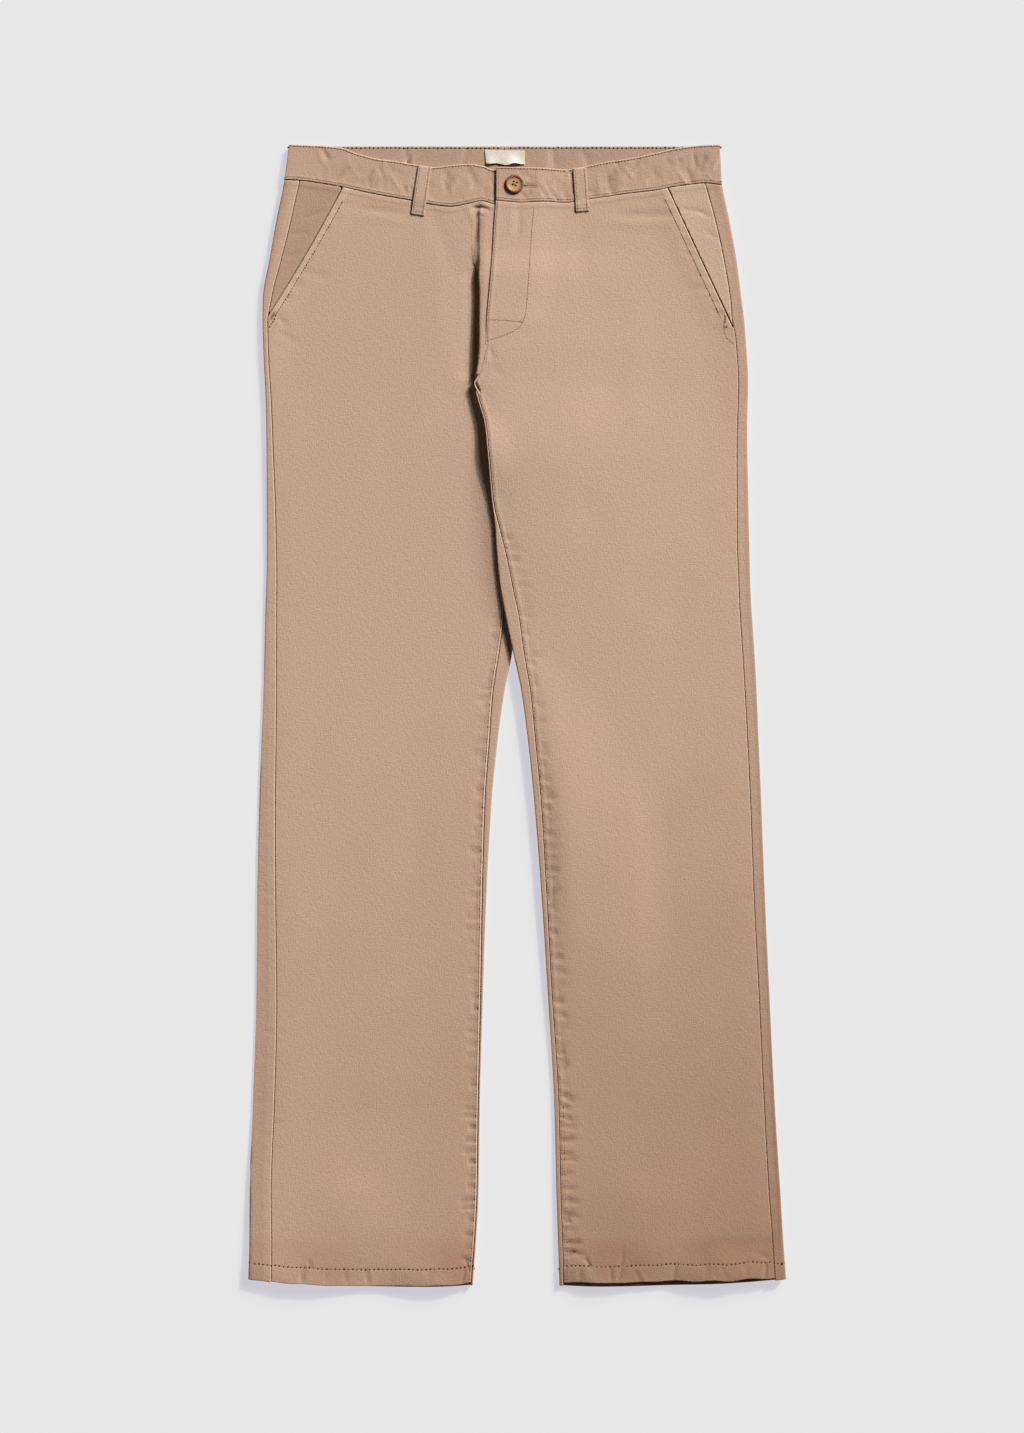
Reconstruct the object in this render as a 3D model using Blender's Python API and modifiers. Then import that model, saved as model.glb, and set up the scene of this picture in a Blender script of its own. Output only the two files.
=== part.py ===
"""Chino trousers laid out flat on a surface, front up, with the waistband buttoned.

Frame: X across, Y from the hems up to the waist, Z up from the surface. The origin lies under the middle of the
bounding box. Sizes here are millimetres, and build_object() turns them into metres. "down" is the distance below
the top of the waistband, and "across" is the distance from the centre line towards a leg's own side, so that both
legs are described the same way. Right and left are the wearer's: the right leg lies towards -X.
"""

import math
from collections import namedtuple

import bmesh
import bpy
import numpy as np

MM = 0.001

# Driving dimensions.
LENGTH = 1072.0  # outseam, from the top of the waistband to the lowest point of the hems
CROTCH = 224.0  # how far down the four leg panels meet
CROTCH_RUN = 9.0  # the stretch over which the inside edges of the legs form
FOLD_RUN = 5.4  # and over which the fold beside the fly ends
OVERLAP_END = 474.0  # how far down the left thigh stops lying on the right one
CLOTH = 1.0  # wall of one layer of twill
BAND = 1.6  # wall of the waistband, which is two layers and a stiffener
LOOP = 1.3  # wall of a belt loop, a strip folded in three
SEAM = 0.4  # clear line between two sewn pieces
WAIST_SEAM = 1.0  # the same between a front and the band, whose edges bend
HEM = 15.0  # depth of the turned-up hem, where the wall is doubled
LOFT = 6.0  # height of a leg at its rolled edges
MIDDLE = 4.8  # height of a leg between its edges
SHOULDER = 16.0  # how far the rolled edge takes to settle to the middle
HEM_LOFT = 1.5  # how much the doubled hem adds to that height
HEM_FILL = 0.3  # and how much more in the middle
HEM_RUN = 40.0  # stretch over which the leg thickens towards the hem
CROTCH_EASE = 0.8  # more room at the inseam where the back panel has just rolled up
STACK = 6.6  # how far the right thigh lifts the left one
STACK_INSET = 6.0  # how far inside the right thigh's edge the left one starts to come down
STACK_FALL = 36.0  # and how wide a stretch it takes
OVERLAP_RUN = 60.0  # stretch over which the thighs part
BAND_PROUD = 1.0  # step from a panel up to the waistband
LAP_RISE = 2.4  # how far the fly stands over the layer under it
LAP_MARGIN, LAP_FALL = 4.0, 18.0  # it comes down that far past the layer's end, over that width
RIDGE = 4.1  # height of the fold beside the fly
RIDGE_WIDTH, RIDGE_FALL = 7.0, 26.0  # its level part, and the slope that follows
VALLEY = 0.9  # how far the right front dips before that fold
BAND_LAP = 2.0  # how far the left end of the waistband stands over the right one
BAND_LAP_END, BAND_LAP_FALL = 19.0, 26.0  # where it starts to come down, along X, and over what width
POCKET_RISE = 1.4  # how far the pocket's edge stands over its facing
POCKET_FALL = 30.0  # width over which it comes down
POCKET_FADE, POCKET_RUN = 8.0, 26.0  # it ends that far above the pocket's lower end, over that length
BACK_TOP = 1.5  # upper and lower edge of the back of the waistband
BACK_BOTTOM = 38.5
LOOP_END = 46.5  # how far down the belt loops of the back reach
CENTRE_BACK = -11.7  # where the back seam meets the waistband, along X
CROTCH_POINT = -40.6  # where it meets the inseams
BACK_RISE = 1.7  # how far the belt loops under the back lift the band
BACK_RISE_RUN = 12.0  # stretch below them over which the back comes down
LOOP_WIDTH = 12.6
LOOP_ARCH = 0.8  # slack of a belt loop over the band
LOOP_GRIP = 1.15  # the slack ends that much sooner than the loop
LOOP_STEP = 6.0  # stretch over which it steps down from the band
LOOP_FOOT = 0.4  # room under its turned end, over the panel
LOOP_EDGE = 0.4  # rounding of a back loop's edges
FACING_TOP, FACING_LIFT = 30.0, 3.0  # a pocket facing starts that far down, and ends that much above the pocket's end
FACING_MARGIN, FACING_SINK = 9.0, 1.0  # how far it reaches under the front panel, and how much lower it is there
BUTTON_RADIUS = 8.8
BUTTON_AT = (-2.2, 37.4)  # along X, and down
BUTTON_FACETS = 32
BUTTON_HOLES = 4
HOLE_RADIUS, HOLE_RING, HOLE_TURN, HOLE_FACETS = 0.95, 2.0, 20.0, 10  # size, distance out, turn in degrees
DRILL_LENGTH, DRILL_MIDDLE = 12.0, 1.5
LABEL_LEFT, LABEL_RIGHT = -30.0, 7.0
LABEL_TOP, LABEL_BOTTOM = 5.2, 18.2
LABEL_WAVE, LABEL_BEAT = 0.6, 1.9  # height and spacing of the waves of its lower edge
SHARP_ANGLE = 50.0  # edges sharper than this stay crisp

# Outline of each leg. A strip is the part of the back panel that rolls over the edge and shows beside the seam.
Section = namedtuple("Section", "down outer outer_strip inner inner_strip")
RIGHT_LEG = [
    Section(36, 218.5, 14.0, 41.5, 1.5),
    Section(70, 225.6, 13.5, 41.5, 1.5),
    Section(107, 232.2, 11.0, 41.5, 1.5),
    Section(145, 238.6, 8.0, 41.5, 1.5),
    Section(165, 238.9, 4.8, 41.5, 1.5),
    Section(200, 237.8, 4.5, 41.5, 1.5),
    Section(224, 236.7, 4.7, 41.5, 1.5),
    Section(227, 236.6, 4.8, 41.3, 1.5),
    Section(230, 236.4, 4.8, 38.9, 1.5),
    Section(234, 236.2, 4.9, 35.6, 1.6),
    Section(241, 235.9, 5.0, 30.6, 2.2),
    Section(262, 235.5, 5.5, 19.0, 4.5),
    Section(285, 235.2, 6.0, 11.0, 7.0),
    Section(335, 235.0, 7.8, 1.0, 10.0),
    Section(390, 235.0, 9.0, -1.5, 12.0),
    Section(440, 236.4, 10.3, 0.0, 12.7),
    Section(475, 237.2, 11.0, 4.2, 12.6),
    Section(515, 238.2, 12.0, 12.0, 10.8),
    Section(560, 239.6, 13.0, 18.6, 8.4),
    Section(615, 241.6, 14.3, 24.2, 6.9),
    Section(710, 243.5, 16.5, 29.5, 4.4),
    Section(800, 244.6, 18.6, 32.7, 2.8),
    Section(900, 247.5, 19.4, 35.6, 1.8),
    Section(985, 250.3, 19.2, 36.7, 1.8),
    Section(1030, 251.2, 20.8, 38.6, 1.6),
    Section(1068, 252.0, 21.5, 41.5, 1.5),
]
LEFT_LEG = [
    Section(36, 193.2, 17.0, -40.4, 1.5),
    Section(70, 199.3, 13.5, -40.4, 1.5),
    Section(107, 205.9, 12.0, -40.4, 1.5),
    Section(145, 210.8, 10.6, -40.4, 1.5),
    Section(165, 213.4, 11.6, -40.4, 1.5),
    Section(181, 214.6, 9.6, -40.4, 1.5),
    Section(224, 217.0, 9.3, -40.4, 1.5),
    Section(240, 216.6, 9.2, -36.9, 1.6),
    Section(262, 216.2, 9.5, -30.6, 1.5),
    Section(285, 216.3, 10.0, -26.9, 1.5),
    Section(335, 217.3, 10.8, -22.8, 1.5),
    Section(360, 217.8, 11.2, -20.4, 3.9),
    Section(380, 218.3, 11.5, -19.2, 7.8),
    Section(412, 219.2, 11.1, -16.2, 11.4),
    Section(440, 220.0, 10.7, -11.4, 13.6),
    Section(475, 222.0, 10.4, -3.9, 11.5),
    Section(515, 224.3, 10.2, 4.5, 9.8),
    Section(560, 226.5, 10.0, 10.4, 8.5),
    Section(615, 229.0, 9.9, 16.2, 7.9),
    Section(710, 233.1, 10.4, 23.9, 6.0),
    Section(800, 237.1, 9.8, 29.7, 4.9),
    Section(900, 241.7, 9.7, 35.8, 5.3),
    Section(985, 246.5, 10.0, 38.1, 5.0),
    Section(1030, 249.4, 9.6, 39.7, 5.0),
    Section(1068, 252.0, 10.0, 41.2, 4.2),
]

# The fly, along X: its edge, and the fold of the right front beside it. The fold is depth deep and grows by rise,
# and the right front runs on under the left one by lap.
FlyRow = namedtuple("FlyRow", "down edge fold depth rise lap")
FLY = [
    FlyRow(50, -19.7, -34.5, 0.0, 0.10, 31.0),
    FlyRow(58, -20.4, -35.6, 1.5, 0.60, 31.0),
    FlyRow(72, -21.6, -36.3, 5.0, 0.90, 31.0),
    FlyRow(110, -24.2, -36.2, 8.0, 1.00, 30.0),
    FlyRow(140, -26.3, -35.4, 9.0, 1.00, 29.0),
    FlyRow(166, -28.8, -35.7, 9.0, 1.00, 26.0),
    FlyRow(186, -30.4, -35.6, 8.0, 1.00, 9.0),
    FlyRow(200, -31.2, -36.3, 6.0, 1.00, 3.0),
    FlyRow(213, -34.6, -38.2, 3.0, 0.95, 2.0),
    FlyRow(224, -40.2, -41.4, 0.6, 0.80, 1.2),
]

# Upper and lower edge of the front of the waistband.
BandRow = namedtuple("BandRow", "across top bottom")
RIGHT_BAND = [
    BandRow(-14, 24.0, 51.0),
    BandRow(15, 24.0, 51.6),
    BandRow(20, 24.2, 56.0),
    BandRow(33, 20.0, 52.8),
    BandRow(45, 18.4, 55.0),
    BandRow(62, 19.5, 57.9),
    BandRow(78, 21.3, 56.3),
    BandRow(97, 18.7, 52.5),
    BandRow(112, 16.0, 50.0),
    BandRow(131, 13.5, 46.6),
    BandRow(150, 8.5, 42.8),
    BandRow(166, 3.0, 39.2),
    BandRow(185, 1.2, 36.0),
    BandRow(201, 0.6, 33.7),
    BandRow(214, 0.0, 33.0),
]
LEFT_BAND = [
    BandRow(-19.7, 21.2, 52.5),
    BandRow(4, 21.7, 54.4),
    BandRow(27, 22.3, 53.4),
    BandRow(45, 23.6, 54.4),
    BandRow(66, 20.2, 51.3),
    BandRow(85, 16.2, 48.6),
    BandRow(104, 13.4, 45.8),
    BandRow(130, 8.0, 42.8),
    BandRow(148, 4.0, 39.2),
    BandRow(162, 1.8, 37.3),
    BandRow(176, 0.6, 36.0),
    BandRow(190, 0.2, 37.4),
]

Hem = namedtuple("Hem", "outer inner bow")  # how far down its two corners are, and its sag between them
Pocket = namedtuple("Pocket", "top_across top bottom_across bottom bow")  # the slanted mouth of the front pocket
# roll_start is how far down the leg's inside edge begins to roll up. The right one stays flat until the left has
# lifted off it.
SIDE_COLUMNS = "name sign leg roll_start band band_top_edge band_bottom_edge band_end front_hem back_hem pocket"
Side = namedtuple("Side", SIDE_COLUMNS)
RIGHT = Side(
    "right", -1, RIGHT_LEG, CROTCH + 7.0, RIGHT_BAND, 214.0, 218.5, -14.0,
    Hem(1065.0, 1067.3, 5.0), Hem(1065.4, 1069.6, 4.2), Pocket(163.0, 39.0, 232.8, 160.0, -1.8),
)
LEFT = Side(
    "left", 1, LEFT_LEG, CROTCH, LEFT_BAND, 191.3, 193.4, -19.7,
    Hem(1063.6, 1069.4, 0.8), Hem(1064.8, 1072.0, 2.4), Pocket(140.8, 40.0, 202.3, 172.0, 2.4),
)

# A belt loop runs from the top of the band to a little below it.
LoopPlace = namedtuple("LoopPlace", "name side top_across top bottom_across bottom")
FRONT_LOOPS = [
    LoopPlace("belt_loop_front_right", RIGHT, 86.4, 20.4, 93.4, 66.6),
    LoopPlace("belt_loop_front_left", LEFT, 58.6, 22.2, 61.4, 63.4),
]
BACK_LOOPS = {"belt_loop_back_right": -130.0, "belt_loop_centre_back": CENTRE_BACK, "belt_loop_back_left": 108.0}

# Rows of points down the panels: close over the hips, wider down the legs, and one on each side of the hem stitch.
HIP_ROWS = [58.0 + 15.2 * step for step in range(11)]
CROTCH_ROWS = [218.0, 224.0, 228.5, 232.0, 235.5, 240.0, 247.0, 262.0]
THIGH_ROWS = [280.0 + 25.0 * step for step in range(11)]
LEG_ROWS = [595.0 + 76.0 * step for step in range(6)]
HEM_ROWS = [LENGTH - HEM - 4.6, LENGTH - HEM - 4.0, LENGTH - 4.0]
PANEL_ROWS = HIP_ROWS + CROTCH_ROWS + THIGH_ROWS + LEG_ROWS + HEM_ROWS
FIRST_ROW, LAST_ROW = PANEL_ROWS[0], PANEL_ROWS[-1]
SETTLING = 4  # rounds in which a point's place and its row's bend settle
WAIST_FADE = 100.0  # the rows follow the waistband's curve over this stretch, and the hem's over the next
HEM_FADE = 120.0
ABOVE_MOUTH = -0.2  # a pocket's mouth runs on in its line this far above its top, as a share of its length


def smooth(share):
    """0 below 0, 1 above 1, and an even S between."""
    share = np.clip(share, 0.0, 1.0)
    return share * share * (3 - 2 * share)


def read(table, column, at):
    """A column of a table at any distance, on a smooth curve through its rows that never overshoots them."""
    keys = np.array([row[0] for row in table], float)
    values = np.array([getattr(row, column) for row in table], float)
    steps, rises = np.diff(keys), np.diff(values)
    slopes = rises / steps
    before, after = slopes[:-1], slopes[1:]
    turning = before * after <= 0
    inner = np.where(turning, 0.0, 2 * before * after / np.where(turning, 1.0, before + after))
    tangents = np.concatenate([[slopes[0]], inner, [slopes[-1]]])
    at = np.clip(at, keys[0], keys[-1])
    left = np.clip(np.searchsorted(keys, at, side="right") - 1, 0, len(steps) - 1)
    part = (at - keys[left]) / steps[left]
    return (
        values[left] * (1 + 2 * part) * (1 - part) ** 2
        + values[left + 1] * part**2 * (3 - 2 * part)
        + steps[left] * part * (1 - part) * (tangents[left] * (1 - part) - tangents[left + 1] * part)
    )


def near_hem(down):
    """0 up the leg and 1 at the hem."""
    return smooth((down - LAST_ROW + HEM + HEM_RUN) / HEM_RUN)


def rolled(inside, down):
    """Height of a flattened leg's upper face, inside millimetres from its nearer edge."""
    edge = LOFT + HEM_LOFT * near_hem(down)
    middle = MIDDLE + (HEM_LOFT + HEM_FILL) * near_hem(down)
    radius = edge / 2
    on_roll = radius + np.sqrt(np.maximum(radius**2 - (radius - np.clip(inside, 0, radius)) ** 2, 0))
    past_roll = middle + (edge - middle) * np.exp(-((np.maximum(inside - radius, 0) / SHOULDER) ** 2))
    return np.where(inside < radius, on_roll, past_roll)


def below_crotch(down):
    """0 above the crotch and 1 where the legs' inside edges have formed."""
    return smooth((down - CROTCH) / CROTCH_RUN)


def inside_rolled(side, down):
    """0 above the crotch and 1 where the leg's inside edge is a full roll."""
    return smooth((down - side.roll_start) / CROTCH_RUN)


def puff(side, across, down):
    """Height of a leg's upper face over its own underside."""
    to_outer = read(side.leg, "outer", down) - across
    to_inner = across - read(side.leg, "inner", down)
    hip = rolled(to_outer, down)
    leg = rolled(np.minimum(to_outer, to_inner), down)
    return hip + (leg - hip) * inside_rolled(side, down)


def thigh_lift(x, down):
    """How far the right thigh lifts the left leg that lies on it."""
    reach = 1 - smooth((x + read(RIGHT_LEG, "inner", down) - STACK_INSET) / STACK_FALL)
    return STACK * reach * below_crotch(down) * (1 - smooth((down - OVERLAP_END) / OVERLAP_RUN))


def fold_rise(down):
    """How much of its full height the fold beside the fly has."""
    return read(FLY, "rise", down) * (1 - smooth((down - CROTCH) / FOLD_RUN))


def ridge(x, down):
    """Height of the fold beside the fly, which falls away towards the left."""
    return RIDGE * fold_rise(down) * (1 - smooth((x - read(FLY, "fold", down) - RIDGE_WIDTH) / RIDGE_FALL))


def fly_lift(x, down):
    """How far the left front stands over the right one at the fly."""
    past_lap = x - read(FLY, "edge", down) - read(FLY, "lap", down)
    over = LAP_RISE * (1 - smooth((past_lap - LAP_MARGIN) / LAP_FALL))
    return (over + ridge(x, down)) * (1 - below_crotch(down))


def loop_lift(down):
    """How far the belt loops under the back lift the waistband and the top of the back panels."""
    return BACK_RISE * (1 - smooth((down - LOOP_END) / BACK_RISE_RUN))


def pocket_mouth(side, down):
    """Where the front pocket's edge lies, and below the pocket where the outseam lies."""
    pocket = side.pocket
    part = np.clip((down - pocket.top) / (pocket.bottom - pocket.top), ABOVE_MOUTH, 1)
    mouth = pocket.top_across + (pocket.bottom_across - pocket.top_across) * part
    mouth = mouth + pocket.bow * 4 * part * (1 - part)
    outseam = read(side.leg, "outer", down) - read(side.leg, "outer_strip", down)
    return np.where(down < pocket.bottom, np.minimum(mouth, outseam), outseam)


def pocket_lift(side, across, down):
    """How far the front panel stands over the pocket's facing."""
    near = 1 - (pocket_mouth(side, down) - across) / POCKET_FALL
    return POCKET_RISE * smooth(near) * (1 - smooth((down - side.pocket.bottom + POCKET_FADE) / POCKET_RUN))


def front_height(side, x, down):
    """Height of the upper face of a front panel, apart from the fold beside the fly."""
    across = x * side.sign
    height = puff(side, across, down) + pocket_lift(side, across, down)
    if side is LEFT:
        height = height + fly_lift(x, down) + thigh_lift(x, down)
    return height


def inseam(side, down):
    """How far across a front panel's edge lies at the inseam.

    Where the seam is on the roll, the back panel's wall leans in under it, so the front keeps that much clear.
    """
    strip = read(side.leg, "inner_strip", down)
    lean = CLOTH * (1 + near_hem(down)) * np.clip(1 - strip / rolled(0 * down, down), 0, 1)
    ease = CROTCH_EASE * np.exp(-(((down - side.roll_start - CROTCH_RUN) / CROTCH_RUN) ** 2))
    return read(side.leg, "inner", down) + strip + SEAM + lean + ease


def hem_line(hem, side, x):
    """How far down the hem is at x."""
    outer = read(side.leg, "outer", LAST_ROW)
    inner = read(side.leg, "inner", LAST_ROW)
    part = np.clip((x * side.sign - inner) / (outer - inner), 0, 1)
    return hem.inner + (hem.outer - hem.inner) * part + hem.bow * 4 * part * (1 - part)


def to_hem(side, hem, row, x):
    """How far a row's point moves down so that the lowest row follows the hem."""
    return (hem_line(hem, side, x) - LAST_ROW) * smooth((row - LAST_ROW + HEM_FADE) / HEM_FADE)


def front_waist(side, across):
    """The line along which a front panel or a pocket facing meets the waistband."""
    return read(side.band, "bottom", across) + WAIST_SEAM


def front_down(side, row, x):
    """How far down a front panel's point lies, once its row is bent to the waistband above and the hem below."""
    to_waist = (front_waist(side, x * side.sign) - FIRST_ROW) * (1 - smooth((row - FIRST_ROW) / WAIST_FADE))
    return row + to_waist + to_hem(side, side.front_hem, row, x)


def place(x, down, z):
    """Points from their distance along X, how far down they are, and their height."""
    x, down, z = np.broadcast_arrays(x, down, z)
    return np.stack([x, LENGTH / 2 - down, z], axis=-1)


# The right front's columns: flat ones from the outseam, then a fold that runs in under itself and back out.
FLAT_COLUMNS = 6
LEG_INSET = 9.0  # below the crotch the fold's columns lie this far from the inseam
FoldStation = namedtuple("FoldStation", "from_fold with_depth with_turn rise")
FOLD_STATIONS = [
    FoldStation(-16.0, 0, 0.0, 0.00),
    FoldStation(-9.0, 0, 0.0, -0.35),
    FoldStation(-3.5, 0, 0.0, -VALLEY),
    FoldStation(0.0, 1, -0.8, -VALLEY),
    FoldStation(0.0, 1, -0.24, -VALLEY + 0.24),
    FoldStation(0.0, 1, 0.0, -VALLEY + 0.8),
    FoldStation(0.0, 1, -0.24, -VALLEY + 1.3),
    FoldStation(0.0, 1, -0.8, -VALLEY + 1.5),
    FoldStation(0.0, 0, 1.5, -VALLEY + 2.1),
    FoldStation(0.0, 0, 0.45, -VALLEY + 2.6),
    FoldStation(0.0, 0, 0.0, -VALLEY + 3.55),
    FoldStation(0.0, 0, 0.45, -VALLEY + 4.5),
    FoldStation(0.0, 0, 1.5, -VALLEY + 5.0),
]
APPROACH = 3  # the first stations lead down to the fold, and don't turn with it
STRIP_COLUMNS = 4
FOLD_SPREAD = 0.75  # spacing of the stations where there is no fold
FOLD_CENTRE = 7.5  # the station about which they spread
FULL_DEPTH = 4.0  # a fold this deep has round turns


def right_front_end(down):
    """Where the right front ends: under the fly, and below the crotch at the inseam."""
    fly = read(FLY, "edge", down) + read(FLY, "lap", down)
    return fly + (-inseam(RIGHT, down) - fly) * below_crotch(down)


def right_front_station(column, down):
    """X and extra height of one column of the right front."""
    leg = below_crotch(down)
    end = right_front_end(down)
    fold = read(FLY, "fold", down) * (1 - leg) + (end - LEG_INSET) * leg
    depth = read(FLY, "depth", down) * (1 - leg)
    rise = fold_rise(down)
    turn = np.clip(depth / FULL_DEPTH, 0, 1)

    def station(index):
        s = FOLD_STATIONS[index]
        loose = 0.0 if index < APPROACH else (1 - turn) * FOLD_SPREAD * (index - FOLD_CENTRE)
        return fold + s.from_fold + s.with_depth * depth + s.with_turn * turn + loose, s.rise * rise

    if column < FLAT_COLUMNS:
        outer = -(pocket_mouth(RIGHT, down) - SEAM / 2)
        first, _ = station(0)
        return outer + (first - outer) * column / FLAT_COLUMNS, 0.0 * down
    if column < FLAT_COLUMNS + len(FOLD_STATIONS):
        return station(column - FLAT_COLUMNS)
    last, _ = station(len(FOLD_STATIONS) - 1)
    part = (column - FLAT_COLUMNS - len(FOLD_STATIONS) + 1) / STRIP_COLUMNS
    x = last + (end - last) * part
    return x, ridge(x, down) * (1 - leg)


def front_right_points(column, row):
    """Points of the right front's upper face."""
    down = row
    for _ in range(SETTLING):
        x, extra = right_front_station(column, down)
        down = front_down(RIGHT, row, x)
    return place(x, down, front_height(RIGHT, x, down) + extra)


LEFT_COLUMNS = 15
LEFT_CROWDING = 1.45  # crowds the left front's columns towards the fly


def front_left_points(column, row):
    """Points of the left front's upper face."""
    down = row
    for _ in range(SETTLING):
        fly = read(FLY, "edge", down)
        inner = fly + (inseam(LEFT, down) - fly) * below_crotch(down)
        outer = pocket_mouth(LEFT, down) - SEAM / 2
        x = inner + (outer - inner) * (column / LEFT_COLUMNS) ** LEFT_CROWDING
        down = front_down(LEFT, row, x)
    return place(x, down, front_height(LEFT, x, down))


# A back panel's columns: the inside strip, the inside roll, the underside, the outside roll, the outside strip.
INNER_STRIP, ROLL, OUTER_STRIP = 1, 4, 2
UNDER_SHARES = [0.0, 0.05, 0.12, 0.26, 0.6, 1.0]  # columns of the underside, close near the crotch
UNDER_START = INNER_STRIP + ROLL
UNDER_END = UNDER_START + len(UNDER_SHARES) - 1
BACK_COLUMNS = UNDER_END + ROLL + OUTER_STRIP
UNROLLED = 0.45  # spacing of the inside columns above the crotch, where nothing rolls
BACK_ROWS = [BACK_BOTTOM + SEAM, LOOP_END + 1] + PANEL_ROWS


def round_the_edge(top, index, strip_columns, down):
    """Radius, turn and flat run of a column of the sheet that wraps round a leg's edge.

    Columns count from the underside, and the seam lies top inside the edge. They share out the roll, and then the
    strip beyond it.
    """
    radius = rolled(0 * down, down)
    arc = radius * (math.pi - np.arcsin(np.clip(1 - top / radius, 0, 1)))
    path = arc + np.maximum(top - radius, 0)
    step = np.minimum(arc / ROLL, path / (ROLL + strip_columns))
    along = step * min(index, ROLL) + (path - step * ROLL) * max(index - ROLL, 0) / strip_columns
    return radius, np.minimum(along, arc) / radius, np.maximum(along - arc, 0)


def back_station(side, column, down):
    """X and height of one column of a back panel."""
    formed = inside_rolled(side, down)
    outer, inner = read(side.leg, "outer", down), read(side.leg, "inner", down)
    centre_share = smooth((down - BACK_BOTTOM) / (CROTCH - BACK_BOTTOM))
    centre = (CENTRE_BACK + (CROTCH_POINT - CENTRE_BACK) * centre_share) * side.sign + SEAM / 2
    edge = centre + (inner - centre) * below_crotch(down)
    if column <= UNDER_START:
        # Above the crotch the inside edge is the centre back seam. Below it, the edge rolls up to the inseam.
        top = read(side.leg, "inner_strip", down) - SEAM / 2
        radius, turn, flat = round_the_edge(top, UNDER_START - column, INNER_STRIP, down)
        turn = turn * formed
        across = edge + (radius * (1 - np.sin(turn)) + flat) * formed + UNROLLED * column * (1 - formed)
        z = radius * (1 - np.cos(turn))
        z = np.where(flat > 0, z + (puff(side, across, down) - z) * formed, z)
    elif column < UNDER_END:
        radius = rolled(0 * down, down)
        start = edge + radius * formed + UNROLLED * UNDER_START * (1 - formed)
        across = start + (outer - radius - start) * UNDER_SHARES[column - UNDER_START]
        z = 0 * down
    else:
        top = read(side.leg, "outer_strip", down) - SEAM / 2
        radius, turn, flat = round_the_edge(top, column - UNDER_END, OUTER_STRIP, down)
        across = outer - radius * (1 - np.sin(turn)) - flat
        z = np.where(flat > 0, puff(side, across, down), radius * (1 - np.cos(turn)))
    x = across * side.sign
    z = z + loop_lift(down) * np.clip(1 - z / radius, 0, 1)
    return x, z + thigh_lift(x, down) if side is LEFT else z


def back_points(side):
    """The function that gives the points of a back panel's outer face."""

    def points(column, row):
        down = row
        for _ in range(SETTLING):
            x, z = back_station(side, column, down)
            down = row + to_hem(side, side.back_hem, row, x)
        return place(x, down, z)

    return points


FACING_COLUMNS, FACING_ROWS = 4, 8
FACING_EDGE = 1.5  # the facing starts to sink this far outside the mouth


def facing_points(side):
    """The function that gives the points of a pocket facing, from the outseam to a margin under the front."""
    last = side.pocket.bottom - FACING_LIFT

    def points(column, row):
        down = FACING_TOP
        for _ in range(SETTLING):
            outseam = read(side.leg, "outer", down) - read(side.leg, "outer_strip", down) - SEAM / 2
            mouth = pocket_mouth(side, down)
            across = outseam + (mouth - FACING_MARGIN - outseam) * column / FACING_COLUMNS
            line = front_waist(side, across)
            down = line + (last - line) * row / FACING_ROWS
        hidden = smooth((mouth - across + FACING_EDGE) / FACING_MARGIN)
        return place(across * side.sign, down, puff(side, across, down) - FACING_SINK * hidden)

    return points

# A waistband half's columns: along the back from the centre seam, round the side, and along the front to its end.
BAND_BACK, BAND_ROLL, BAND_FRONT = 5, 4, 20
BAND_COLUMNS = BAND_BACK + BAND_ROLL + BAND_FRONT
BAND_ROWS = 3


def band_top(side, across, down, edge):
    """Height of the front of the waistband."""
    x = across * side.sign
    height = rolled(edge - across, down) + BAND_PROUD
    if side is LEFT:
        height = height + BAND_LAP * (1 - smooth((x - BAND_LAP_END) / BAND_LAP_FALL))
    return height


def band_points(side):
    """The function that gives the points of a waistband half's outer face."""

    def points(column, row):
        part = row / BAND_ROWS
        edge = side.band_top_edge + (side.band_bottom_edge - side.band_top_edge) * part
        radius = (LOFT + BAND_PROUD - BACK_RISE) / 2
        start = CENTRE_BACK * side.sign + SEAM / 2
        back_down = BACK_TOP + (BACK_BOTTOM - BACK_TOP) * part
        if column <= BAND_BACK:
            across = start + (edge - radius - start) * column / BAND_BACK
            return place(across * side.sign, back_down, BACK_RISE)
        turn = min((column - BAND_BACK) / BAND_ROLL, 1)
        along = max(column - BAND_BACK - BAND_ROLL, 0) / BAND_FRONT
        across = edge - radius + radius * math.sin(math.pi * turn) + (side.band_end - edge + radius) * along
        line = read(side.band, "top", across) * (1 - part) + read(side.band, "bottom", across) * part
        down = back_down + (line - back_down) * smooth(turn)
        if turn < 1:
            return place(across * side.sign, down, BACK_RISE + radius * (1 - math.cos(math.pi * turn)))
        return place(across * side.sign, down, band_top(side, across, down, edge))

    return points


LOOP_COLUMNS, LOOP_ROWS = 2, 9


def loop_points(loop):
    """The function that gives the points of a front belt loop's outer face."""
    side = loop.side
    lean = (loop.bottom_across - loop.top_across) / (loop.bottom - loop.top)

    def points(column, row):
        along = (loop.bottom - loop.top) * row / LOOP_ROWS
        sideways = (column / LOOP_COLUMNS - 0.5) * LOOP_WIDTH
        across = loop.top_across + lean * along + sideways
        down = loop.top + along - lean * sideways
        on_band = band_top(side, across, down, side.band_bottom_edge)
        on_panel = front_height(side, across * side.sign, down) + LOOP_FOOT
        below_band = smooth((down - read(side.band, "bottom", across) + 1) / LOOP_STEP)
        arch = LOOP_ARCH * math.sin(math.pi * min(LOOP_GRIP * row / LOOP_ROWS, 1)) ** 0.7
        under = on_band + (on_panel - on_band) * below_band
        return place(across * side.sign, down, under + LOOP + SEAM + arch)

    return points


LABEL_COLUMNS, LABEL_ROWS = 8, 2


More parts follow.
